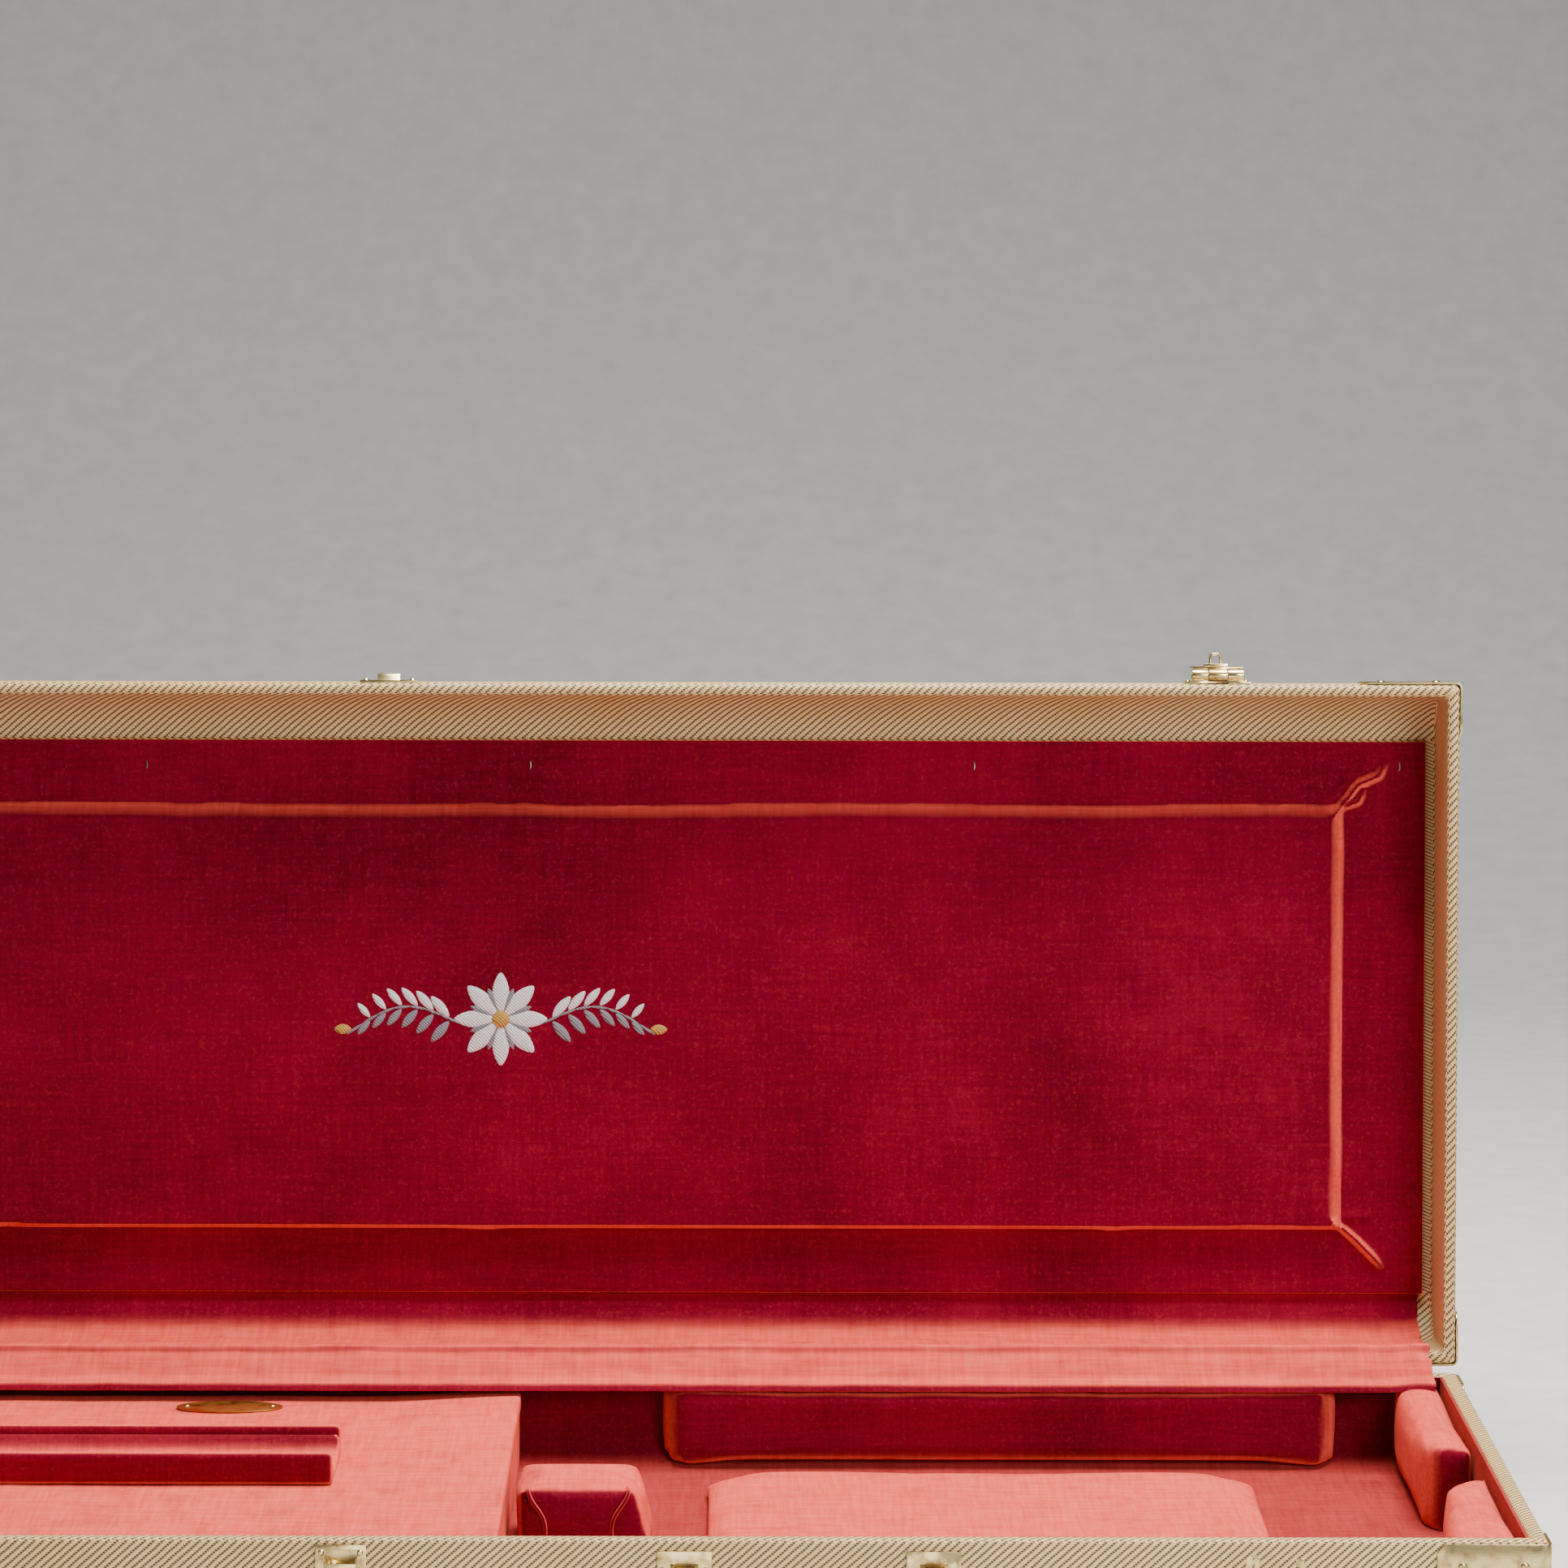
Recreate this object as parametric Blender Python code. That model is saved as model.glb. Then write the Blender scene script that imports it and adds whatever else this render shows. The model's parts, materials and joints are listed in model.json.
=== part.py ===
"""Hard guitar case, standing open: a bent-ply base and lid with flat end panels, plush padding,
a hinged compartment lid with a neck trough, two draw latches, a mortise lock with a hasp, and a handle.

Metres, +Z up. The origin is the centre of the base's flat bottom. +X runs towards the body end,
+Y towards the hinges. The lid and all that rides on it are modelled as on a closed case, and an
empty on the hinge line then turns them open.
"""

import math

import bmesh
import bpy
from mathutils import Matrix, Vector

# ---------------------------------------------------------------- driving dimensions
CASE_LENGTH = 1.065
CASE_WIDTH = 0.395
BASE_HEIGHT = 0.066
LID_HEIGHT = 0.070
EDGE_RADIUS = 0.034  # outer radius of the four long edges, where the ply is bent
BASE_WALL = 0.009
LID_WALL = 0.007
GAP = 0.0003  # between pieces that touch
SEAM = 0.0006  # between the two rims of a closed case
ARC_STEPS = 8
CUT_MARGIN = 0.001  # how far a cutting shape reaches past what it cuts

LID_OPEN_ANGLE = 94.5
HINGE_INSET = 0.1725  # outer hinges from the case's ends
HINGE_WIDTH = 0.040
HINGE_LEAF_HEIGHT = 0.022
LEAF_THICKNESS = 0.0012
KNUCKLE_RADIUS = 0.0030
PIN_RADIUS = 0.0015
PIN_CLEARANCE = 0.0001
KNUCKLE_GAP = 0.0004
KNUCKLE_WALL_GAP = 0.0005  # between a knuckle and the back wall
LEAF_OVERLAP = 0.0006  # of a knuckle's strip with its leaf
HINGE_RIVET_OFFSET = 0.3  # of the hinge's width, to each side
HINGE_RIVET_RISE = 0.62  # of the leaf's height

LINER_WALL = 0.0015
FLOOR_HEIGHT = 0.014  # top of the lining's floor over the outer bottom
PAD_DROP = 0.006  # tops of the side pads under the rim
PAD_EDGE = 0.005  # rounding of the padded blocks' top edges
PAD_CHAMFER = 0.010  # cut off the pads' inner upright corners

LID_PANEL_THICKNESS = 0.004
LID_PANEL_MARGIN = 0.035  # from the lid's long outer faces
LID_PANEL_END_MARGIN = 0.013
LID_FIELD_THICKNESS = 0.008
LID_FIELD_MARGIN = 0.072
LID_FIELD_END_MARGIN = 0.061
HINGE_STRIP_THICKNESS = 0.0012

# places along the case are measured from its body end
COMPARTMENT_START = 0.5425
COMPARTMENT_LENGTH = 0.325
COMPARTMENT_DROP = 0.012  # top of the compartment lid under the rim
COMPARTMENT_LID_THICKNESS = 0.006
COMPARTMENT_WALL = 0.006
COMPARTMENT_SIDE_GAP = 0.0025

TROUGH_START = 0.6365
TROUGH_LENGTH = 0.221
TROUGH_WIDTH = 0.072
TROUGH_WALL = 0.007
TROUGH_FLOOR = 0.004
TROUGH_RISE = 0.018  # over the compartment lid

NECK_BLOCK_LENGTH = 0.0665
NECK_BLOCK_GAP = 0.0045  # from the compartment lid
NECK_BLOCK_FRONT = -0.027
NECK_BLOCK_BACK = 0.040
NECK_BLOCK_DROP = 0.015
NECK_BLOCK_FLARE = 0.010
NECK_BLOCK_ROUNDING = 0.004

BACK_PAD_THICKNESS = 0.020
BACK_PAD_START = 0.070
BACK_PAD_LENGTH = 0.3925
FRONT_PAD_THICKNESS = 0.015
FRONT_PAD_START = 0.0545
FRONT_PAD_LENGTH = 0.252
FRONT_PAD_CREST_SHIFT = 0.02  # its thickest place from its middle, towards the body end
FRONT_PAD_EDGE = 0.002  # its thickness where it thins out
FRONT_PAD_STEPS = 12
END_PAD_REACH = 0.0385  # inner face of the pads at the body end
END_PAD_ROUNDING = 0.022
STRAP_NOTCH_BACK = 0.022
STRAP_NOTCH_FRONT = -0.030
HEAD_PAD_END_GAP = 0.0275  # from the head end
HEAD_PAD_COMPARTMENT_GAP = 0.015
HEAD_PAD_THICKNESS = 0.055
HEAD_PAD_TAPER = 0.022  # how much thinner it is next to the compartment
CUSHION_START = 0.1195
CUSHION_LENGTH = 0.319
CUSHION_MARGIN = 0.0497  # from the lining of the long walls
CUSHION_THICKNESS = 0.008
CUSHION_CORNER = 0.028
CUSHION_ROUNDING = 0.0035

NAME_PLATE_START = 0.7085
NAME_PLATE_MARGIN = 0.0342  # its middle from the compartment lid's hinge edge
NAME_PLATE_LENGTH = 0.061
NAME_PLATE_WIDTH = 0.027
NAME_PLATE_THICKNESS = 0.0010

BRACKET_LONG_LEG = 0.058
BRACKET_END_LEG = 0.030
BRACKET_HEIGHT = 0.024
BRACKET_THICKNESS = 0.0012
BRACKET_RIM_DROP = 0.0015

LATCH_STARTS = (0.910, 0.6205)
LATCH_PLATE_WIDTH = 0.026
LATCH_PLATE_HEIGHT = 0.030
LATCH_PLATE_THICKNESS = 0.0012
LATCH_PIVOT_DROP = 0.014  # lever pin under the rim
LATCH_PIVOT_STANDOFF = 0.0060
LATCH_PIN_RADIUS = 0.0012
EAR_OFFSET = 0.0055
EAR_THICKNESS = 0.0012
EAR_RIM = 0.0003  # around the lever pin, small enough for the lever to turn over it
LEVER_COVER_STANDOFF = 0.0036  # the cover's outer face from the lever pin
LEVER_HEAD = 0.003  # the lever's part above its pin
LEVER_CHEEK_DEPTH = 0.0018  # behind the lever pin
LEVER_WIDTH = 0.0166
LEVER_LENGTH = 0.030
LEVER_SHEET = 0.0012
LOOP_PIN_DROP = 0.0065  # loop pin under the lever pin
LOOP_PIN_STANDOFF = 0.0004  # in front of the lever pin
LOOP_WIRE_RADIUS = 0.0011
LOOP_SIDE_GAP = 0.0006  # between the wire and the lever
LOOP_STUB_REACH = 0.0001  # of the wire's ends past the lever's cheeks
LOOP_BEND = 0.0014
KEEPER_PLATE_WIDTH = 0.0335
KEEPER_PLATE_HEIGHT = 0.012
KEEPER_HUMP_WIDTH = 0.013
KEEPER_HUMP_HEIGHT = 0.005
KEEPER_HUMP_SPAN = 0.0052  # from its lower to its upper edge
KEEPER_RIM_RISE = 0.0030

HASP_START = 0.1399
HASP_WIDTH = 0.038
HASP_PLATE_HEIGHT = 0.017
HASP_PLATE_RISE = 0.0032  # over the closed seam, clear of the flap when it is down
HASP_AXIS_RISE = 0.0062
HASP_AXIS_STANDOFF = 0.0052
HASP_KNUCKLE_RADIUS = 0.0036
HASP_FLAP_THICKNESS = 0.0012
HASP_BOSS_HEIGHT = 0.0060
HASP_RIVET_INSET = 0.0022  # from the plate's sides
HASP_RIVET_HEIGHT = 0.0110  # over the plate's lower edge
STAPLE_BEND = 0.0022
HASP_KNUCKLE_START = 0.0058  # of the plate's two knuckles, from the hasp's middle
HASP_KNUCKLE_END = 0.0150
HASP_NOTCH_RISE = 0.0006  # over the hasp's pin
HASP_PIN_RADIUS = 0.0016
HASP_FLAP_WIDTH = 0.030
HASP_FLAP_LENGTH = 0.026
HASP_BOSS_WIDTH = 0.014
HASP_BOSS_RISE = 0.0016
STAPLE_REACH = 0.0185  # from the hasp's pin to the staple
STAPLE_WIDTH = 0.0058
STAPLE_RISE = 0.0056
STAPLE_WIRE_RADIUS = 0.0009
LOCK_WIDTH = 0.034
LOCK_HEIGHT = 0.020
LOCK_DEPTH = 0.0086
LOCK_SLOT_CLEARANCE = 0.0006
KEYWAY_OFFSET = 0.0120
LOCK_CYLINDER_RADIUS = 0.0038
LOCK_CYLINDER_DEPTH = 0.0040
LOCK_BORE_DEPTH = 0.0055
KEYWAY_WIDTH = 0.0010
KEYWAY_HEIGHT = 0.0048
KEYWAY_DEPTH = 0.0025
LOCK_BUTTON_WIDTH = 0.0044
LOCK_BUTTON_DEPTH = 0.0045
LOCK_BUTTON_ROOM = 0.0005
LOCK_PART_RISE = 0.0002  # barrel and button over the lock's face
LOCK_BUTTON_TRAVEL = 0.003

HANDLE_START = 0.380
HANDLE_SPAN = 0.128  # between the two pivots
HANDLE_RISE_ON_WALL = 0.050  # pivots over the outer bottom
HANDLE_DROP = 0.036
HANDLE_STANDOFF = 0.0105
HANDLE_GRIP_RADIUS = 0.0078
HANDLE_RING_RADIUS = 0.0018
HANDLE_PLATE_WIDTH = 0.028
HANDLE_PLATE_HEIGHT = 0.020
HANDLE_EAR_START = 0.0050  # of the two ears, from the plate's middle
HANDLE_EAR_THICKNESS = 0.0022
HANDLE_EAR_HALF = 0.0034  # half the ears' height
HANDLE_BORE_LENGTH = 0.018
HANDLE_RIVET_INSET = 0.0030
HANDLE_EYE_LENGTH = 0.0136
HANDLE_POST_HALF = 0.0042  # half the link's width
HANDLE_STEM_HALF = 0.0030  # half the link's thickness
HANDLE_STEM_LENGTH = 0.0145
HANDLE_GRIP_BEND = 0.004
# the grip's line at each end: inwards from the pivot, and down from it
HANDLE_GRIP_LINE = (
    (0.004, 0.0160),
    (0.006, 0.0260),
    (0.016, HANDLE_DROP - 0.0015),
    (0.034, HANDLE_DROP),
)

RIVET_RADIUS = 0.0020
RIVET_RISE = 0.0009

# ---------------------------------------------------------------- derived places
HALF_LENGTH = CASE_LENGTH / 2
HALF_WIDTH = CASE_WIDTH / 2
RIM = BASE_HEIGHT
LID_RIM = RIM + SEAM
LID_TOP = LID_RIM + LID_HEIGHT
FRONT_FACE = -HALF_WIDTH
BACK_FACE = HALF_WIDTH
INNER_HALF_WIDTH = HALF_WIDTH - BASE_WALL
LINED_HALF_WIDTH = INNER_HALF_WIDTH - GAP - LINER_WALL
LINED_HALF_LENGTH = HALF_LENGTH - BASE_WALL - GAP - LINER_WALL
PAD_TOP = RIM - PAD_DROP
HINGE_STANDOFF = KNUCKLE_RADIUS + KNUCKLE_WALL_GAP  # hinge line behind the back wall
HINGE_LINE = Vector((0.0, BACK_FACE + HINGE_STANDOFF, RIM + SEAM / 2))
HINGE_PLACES = (HINGE_INSET - HALF_LENGTH, 0.0, HALF_LENGTH - HINGE_INSET)
COMPARTMENT_RIGHT = HALF_LENGTH - COMPARTMENT_START
COMPARTMENT_LEFT = COMPARTMENT_RIGHT - COMPARTMENT_LENGTH
TROUGH_RIGHT = HALF_LENGTH - TROUGH_START
TROUGH_LEFT = TROUGH_RIGHT - TROUGH_LENGTH
NECK_BLOCK_LEFT = COMPARTMENT_RIGHT + NECK_BLOCK_GAP
NECK_BLOCK_RIGHT = NECK_BLOCK_LEFT + NECK_BLOCK_LENGTH
BACK_PAD_RIGHT = HALF_LENGTH - BACK_PAD_START
BACK_PAD_LEFT = BACK_PAD_RIGHT - BACK_PAD_LENGTH
FRONT_PAD_RIGHT = HALF_LENGTH - FRONT_PAD_START
FRONT_PAD_LEFT = FRONT_PAD_RIGHT - FRONT_PAD_LENGTH
END_PAD_INNER = HALF_LENGTH - END_PAD_REACH
HEAD_PAD_LEFT = HEAD_PAD_END_GAP - HALF_LENGTH
HEAD_PAD_RIGHT = COMPARTMENT_LEFT - HEAD_PAD_COMPARTMENT_GAP
CUSHION_RIGHT = HALF_LENGTH - CUSHION_START
CUSHION_LEFT = CUSHION_RIGHT - CUSHION_LENGTH
CUSHION_HALF_WIDTH = LINED_HALF_WIDTH - CUSHION_MARGIN
LATCH_PLACES = tuple(HALF_LENGTH - start for start in LATCH_STARTS)
HASP_PLACE = HALF_LENGTH - HASP_START
HANDLE_PLACE = HALF_LENGTH - HANDLE_START
COMPARTMENT_TOP = RIM - COMPARTMENT_DROP
COMPARTMENT_UNDER = COMPARTMENT_TOP - COMPARTMENT_LID_THICKNESS
COMPARTMENT_HALF_DEPTH = LINED_HALF_WIDTH - COMPARTMENT_SIDE_GAP
COMPARTMENT_LINE = Vector((0.0, COMPARTMENT_HALF_DEPTH, COMPARTMENT_TOP))
NAME_PLATE_CENTRE = (HALF_LENGTH - NAME_PLATE_START, COMPARTMENT_HALF_DEPTH - NAME_PLATE_MARGIN)
LID_CEILING = LID_TOP - LID_WALL
HASP_LINE = Vector((HASP_PLACE, FRONT_FACE - HASP_AXIS_STANDOFF, LID_RIM + HASP_AXIS_RISE))
LATCH_PIVOT_HEIGHT = RIM - LATCH_PIVOT_DROP
HANDLE_LINE = Vector((HANDLE_PLACE, FRONT_FACE - HANDLE_STANDOFF, HANDLE_RISE_ON_WALL))
LOCK_CENTRE_HEIGHT = HASP_LINE.z - STAPLE_REACH
LOCK_BUTTON_LINE = Vector((HASP_PLACE + KEYWAY_OFFSET, FRONT_FACE, LOCK_CENTRE_HEIGHT))

COLOURS = {
    "tweed": ((0.72, 0.57, 0.33), 0.9, 0.0),
    "velvet": ((0.36, 0.012, 0.02), 0.95, 0.0),
    "brass": ((0.80, 0.66, 0.42), 0.3, 1.0),
    "plate": ((0.42, 0.26, 0.09), 0.4, 1.0),
    "leather": ((0.23, 0.11, 0.05), 0.55, 0.0),
}


# ---------------------------------------------------------------- scene and materials
def clear_scene():
    for obj in list(bpy.data.objects):
        bpy.data.objects.remove(obj)


def make_materials():
    made = {}
    for name, (colour, roughness, metallic) in COLOURS.items():
        material = bpy.data.materials.new(name)
        material.use_nodes = True
        shader = material.node_tree.nodes["Principled BSDF"]
        shader.inputs["Base Color"].default_value = (*colour, 1.0)
        shader.inputs["Roughness"].default_value = roughness
        shader.inputs["Metallic"].default_value = metallic
        made[name] = material
    return made


def turning_empty(name, place, parent=None, turn=0.0):
    """An empty on a joint's axis. place is where the axis runs on a closed case."""
    empty = bpy.data.objects.new(name, None)
    bpy.context.scene.collection.objects.link(empty)
    empty["axis_place"] = tuple(place)
    empty.location = place
    if parent is not None:
        empty.parent = parent
        empty.location = Vector(place) - Vector(parent["axis_place"])
    empty.rotation_euler.x = math.radians(turn)
    return empty


def add_object(name, mesh_maker, finish, parent=None, smooth=False):
    """One node: its mesh is made in place on a closed case, then hung on its axis."""
    bm = bmesh.new()
    mesh_maker(bm)
    bmesh.ops.recalc_face_normals(bm, faces=bm.faces[:])
    mesh = bpy.data.meshes.new(name)
    bm.to_mesh(mesh)
    bm.free()
    if smooth:
        mesh.shade_smooth()
        mesh.set_sharp_from_angle(angle=math.radians(35))
    mesh.materials.append(MATERIALS[finish])
    obj = bpy.data.objects.new(name, mesh)
    bpy.context.scene.collection.objects.link(obj)
    if parent is not None:
        mesh.transform(Matrix.Translation(-Vector(parent["axis_place"])))
        obj.parent = parent
    return obj


def boolean(obj, mesh_maker, operation, parent=None):
    """Joins to obj, or cuts from it, a shape made in the same place and frame."""
    guide = add_object(f"{obj.name}_guide", mesh_maker, "brass", parent)
    guide.hide_render = True
    guide.display_type = "WIRE"
    modifier = obj.modifiers.new(operation.lower(), "BOOLEAN")
    modifier.operation = operation
    modifier.solver = "EXACT"
    modifier.object = guide


def round_edges(obj, width, segments=2, angle=40):
    modifier = obj.modifiers.new("rounded", "BEVEL")
    modifier.width = width
    modifier.segments = segments
    modifier.limit_method = "ANGLE"
    modifier.angle_limit = math.radians(angle)
    modifier.use_clamp_overlap = True


# ---------------------------------------------------------------- shapes
def extrude_outline(bm, points, direction):
    """A closed prism from an outline of 3-D points, pushed along direction."""
    near = [bm.verts.new(p) for p in points]
    far = [bm.verts.new(Vector(p) + Vector(direction)) for p in points]
    bm.faces.new(near)
    bm.faces.new(far[::-1])
    count = len(points)
    for i in range(count):
        j = (i + 1) % count
        bm.faces.new((near[i], far[i], far[j], near[j]))


def box(bm, low, high):
    corners = [(low[0], low[1]), (high[0], low[1]), (high[0], high[1]), (low[0], high[1])]
    extrude_outline(bm, [(x, y, low[2]) for x, y in corners], (0, 0, high[2] - low[2]))


def plan_block(bm, outline, low, high):
    """A block of one height over an outline seen from above."""
    extrude_outline(bm, [(x, y, low) for x, y in outline], (0, 0, high - low))


def cylinder(bm, centre, radius, length, axis="X", sides=16):
    """A round bar about its centre, along X or Y."""
    turn = Matrix.Rotation(math.pi / 2, 4, "Y" if axis == "X" else "X")
    place = Matrix.Translation(centre) @ turn
    bmesh.ops.create_cone(
        bm,
        cap_ends=True,
        segments=sides,
        radius1=radius,
        radius2=radius,
        depth=length,
        matrix=place,
    )


def rivet(bm, centre, base, outward):
    """A domed rivet head whose shank reaches a little into its plate. outward is -1 or 1 along Y."""
    turn = Matrix.Rotation(-outward * math.pi / 2, 4, "X")
    sunk = 0.0004
    middle = base + outward * (RIVET_RISE - sunk) / 2
    place = Matrix.Translation((centre[0], middle, centre[1])) @ turn
    bmesh.ops.create_cone(
        bm,
        cap_ends=True,
        segments=8,
        radius1=RIVET_RADIUS,
        radius2=RIVET_RADIUS * 0.55,
        depth=RIVET_RISE + sunk,
        matrix=place,
    )


def tube(bm, path, radius, sides=8):
    """A round wire along a path of points, with flat ends."""
    points = [Vector(p) for p in path]
    rings = []
    across = None
    for i, point in enumerate(points):
        before = points[max(i - 1, 0)]
        after = points[min(i + 1, len(points) - 1)]
        tangent = (after - before).normalized()
        if across is None:
            across = tangent.orthogonal().normalized()
        across = (across - tangent * across.dot(tangent)).normalized()
        up = tangent.cross(across)
        ring = []
        for k in range(sides):
            angle = 2 * math.pi * k / sides
            spoke = across * math.cos(angle) + up * math.sin(angle)
            ring.append(bm.verts.new(point + spoke * radius))
        rings.append(ring)
    for first, second in zip(rings, rings[1:]):
        for k in range(sides):
            j = (k + 1) % sides
            bm.faces.new((first[k], first[j], second[j], second[k]))
    bm.faces.new(rings[0][::-1])
    bm.faces.new(rings[-1])


def arc(centre, radius, start, end, steps):
    """Points on a circle in a plane, angles in degrees."""
    turn = [math.radians(start + (end - start) * i / steps) for i in range(steps + 1)]
    return [(centre[0] + radius * math.cos(a), centre[1] + radius * math.sin(a)) for a in turn]


def cornered_path(corners, radius, steps=3):
    """The corners joined by straight runs, with each inner corner turned into a short curve."""
    points = [Vector(c) for c in corners]
    path = [points[0]]
    for before, here, after in zip(points, points[1:], points[2:]):
        start = here + (before - here).normalized() * radius
        end = here + (after - here).normalized() * radius
        for i in range(steps + 1):
            t = i / steps
            path.append(start * (1 - t) ** 2 + here * 2 * t * (1 - t) + end * t**2)
    path.append(points[-1])
    return path


def trough_section(half_width, floor, rim, radius):
    """Half of a U seen along X, as (y, z), from the back rim down and round to the front rim."""
    back = arc((half_width - radius, floor + radius), radius, 0, -90, ARC_STEPS)
    front = arc((-half_width + radius, floor + radius), radius, -90, -180, ARC_STEPS)
    return [(half_width, rim), *back, *front, (-half_width, rim)]


def bent_sheet(bm, outer, inner, length):
    """A bent board: the space between an outer and an inner U, along the whole length."""
    section = outer + inner[::-1]
    extrude_outline(bm, [(-length / 2, y, z) for y, z in section], (length, 0, 0))


def over(section):
    """The same section turned over for the lid, seen on a closed case."""
    return [(y, LID_RIM + RIM - z) for y, z in section]


# ---------------------------------------------------------------- base
def base_section(inset, floor):
    return trough_section(HALF_WIDTH - inset, floor, RIM, EDGE_RADIUS - inset)


def build_base():
    outer = base_section(0.0, 0.0)
    inner = base_section(BASE_WALL, BASE_WALL)
    wrap = add_object("base_wrap", lambda bm: bent_sheet(bm, outer, inner, CASE_LENGTH), "tweed")
    boolean(wrap, lock_pocket, "DIFFERENCE")

    panel = base_section(BASE_WALL + GAP, BASE_WALL + GAP)
    for side, name in ((-1, "base_end_left"), (1, "base_end_right")):
        start = side * HALF_LENGTH
        points = [(start, y, z) for y, z in panel]
        add_object(
            name,
            lambda bm, points=points, side=side: extrude_outline(bm, points, (-side * BASE_WALL, 0, 0)),
            "tweed",
        )

    lining_outer = base_section(BASE_WALL + GAP, BASE_WALL + GAP)
    lining_outer = [(y, min(z, RIM - 0.001)) for y, z in lining_outer]
    half = LINED_HALF_WIDTH
    radius = EDGE_RADIUS - BASE_WALL - GAP - LINER_WALL
    lining_inner = trough_section(half, FLOOR_HEIGHT, RIM - 0.001, radius)
    lining_length = CASE_LENGTH - 2 * (BASE_WALL + GAP)
    add_object(
        "base_lining",
        lambda bm: bent_sheet(bm, lining_outer, lining_inner, lining_length),
        "velvet",
    )


def lock_pocket(bm):
    half = LOCK_WIDTH / 2 + GAP
    low = LOCK_CENTRE_HEIGHT - LOCK_HEIGHT / 2 - GAP
    high = LOCK_CENTRE_HEIGHT + LOCK_HEIGHT / 2 + GAP
    box(
        bm,
        (HASP_PLACE - half, FRONT_FACE - CUT_MARGIN, low),
        (HASP_PLACE + half, FRONT_FACE + BASE_WALL + CUT_MARGIN, high),
    )


def build_pads():
    seat = FLOOR_HEIGHT + GAP
    back = LINED_HALF_WIDTH - GAP
    # lower edges clear the lining's rounded corner
    corner = EDGE_RADIUS - BASE_WALL - GAP - LINER_WALL
    end = LINED_HALF_LENGTH - GAP

    face = back - BACK_PAD_THICKNESS
    chamfer = PAD_CHAMFER
    outline = [
        (BACK_PAD_LEFT, back),
        (BACK_PAD_LEFT, face + chamfer),
        (BACK_PAD_LEFT + chamfer, face),
        (BACK_PAD_RIGHT - chamfer, face),
        (BACK_PAD_RIGHT, face + chamfer),
        (BACK_PAD_RIGHT, back),
    ]
    wall_pad("back_side_pad", outline, seat, corner)

    centre = (FRONT_PAD_LEFT + FRONT_PAD_RIGHT) / 2 + FRONT_PAD_CREST_SHIFT
    reach = 0.5 * (FRONT_PAD_RIGHT - FRONT_PAD_LEFT)
    crest = FRONT_PAD_THICKNESS - FRONT_PAD_EDGE
    outline = [(FRONT_PAD_LEFT, -back)]
    for i in range(1, FRONT_PAD_STEPS):
        x = FRONT_PAD_LEFT + (FRONT_PAD_RIGHT - FRONT_PAD_LEFT) * i / FRONT_PAD_STEPS
        swell = math.cos(math.pi / 2 * min(1.0, abs(x - centre) / reach)) ** 0.8
        outline.append((x, -back + FRONT_PAD_EDGE + crest * swell))
    outline.append((FRONT_PAD_RIGHT, -back))
    wall_pad("front_side_pad", outline, seat, corner)

    rounding = END_PAD_ROUNDING
    edge = arc((END_PAD_INNER + rounding, STRAP_NOTCH_BACK + rounding), rounding, 180, 270, 5)
    outline = [(END_PAD_INNER, back), *edge, (end, STRAP_NOTCH_BACK), (end, back)]
    wall_pad("end_pad_back", outline, seat, corner)
    outline = [
        (end, -back),
        (end, STRAP_NOTCH_FRONT),
        (END_PAD_INNER + 0.012, STRAP_NOTCH_FRONT - 0.014),
        (END_PAD_INNER + 0.001, STRAP_NOTCH_FRONT - 0.030),
        (END_PAD_INNER - 0.012, -back),
    ]
    wall_pad("end_pad_front", outline, seat, corner)

    inner = back - HEAD_PAD_THICKNESS
    for side, name in ((1, "head_pad_back"), (-1, "head_pad_front")):
        outline = [
            (HEAD_PAD_LEFT, side * back),
            (HEAD_PAD_LEFT, side * (inner + chamfer)),
            (HEAD_PAD_LEFT + chamfer, side * inner),
            (HEAD_PAD_RIGHT, side * (inner + HEAD_PAD_TAPER)),
            (HEAD_PAD_RIGHT, side * back),
        ]
        wall_pad(name, outline, seat, corner)

    half = CUSHION_HALF_WIDTH
    slope = CUSHION_CORNER
    outline = [
        (CUSHION_LEFT, -half + slope),
        (CUSHION_LEFT + slope, -half),
        (CUSHION_RIGHT - slope, -half),
        (CUSHION_RIGHT, -half + slope),
        (CUSHION_RIGHT, half - slope),
        (CUSHION_RIGHT - slope, half),
        (CUSHION_LEFT + slope, half),
        (CUSHION_LEFT, half - slope),
    ]
    cushion = add_object(
        "floor_cushion",
        lambda bm: plan_block(bm, outline, seat, seat + CUSHION_THICKNESS),
        "velvet",
    )
    round_edges(cushion, CUSHION_ROUNDING)

    top = RIM - NECK_BLOCK_DROP
    flare = NECK_BLOCK_FLARE

    def neck_block(bm):
        low = [
            (NECK_BLOCK_LEFT, NECK_BLOCK_FRONT, seat),
            (NECK_BLOCK_RIGHT + flare, NECK_BLOCK_FRONT, seat),
            (NECK_BLOCK_RIGHT + flare, NECK_BLOCK_BACK, seat),
            (NECK_BLOCK_LEFT, NECK_BLOCK_BACK, seat),
        ]
        high = [
            (NECK_BLOCK_LEFT, NECK_BLOCK_FRONT, top),
            (NECK_BLOCK_RIGHT, NECK_BLOCK_FRONT, top),
            (NECK_BLOCK_RIGHT, NECK_BLOCK_BACK, top),
            (NECK_BLOCK_LEFT, NECK_BLOCK_BACK, top),
        ]
        bottom = [bm.verts.new(p) for p in low]
        upper = [bm.verts.new(p) for p in high]
        bm.faces.new(bottom[::-1])
        bm.faces.new(upper)
        for i in range(4):
            j = (i + 1) % 4
            bm.faces.new((bottom[i], bottom[j], upper[j], upper[i]))

    block = add_object("neck_block", neck_block, "velvet")
    round_edges(block, NECK_BLOCK_ROUNDING)


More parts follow.
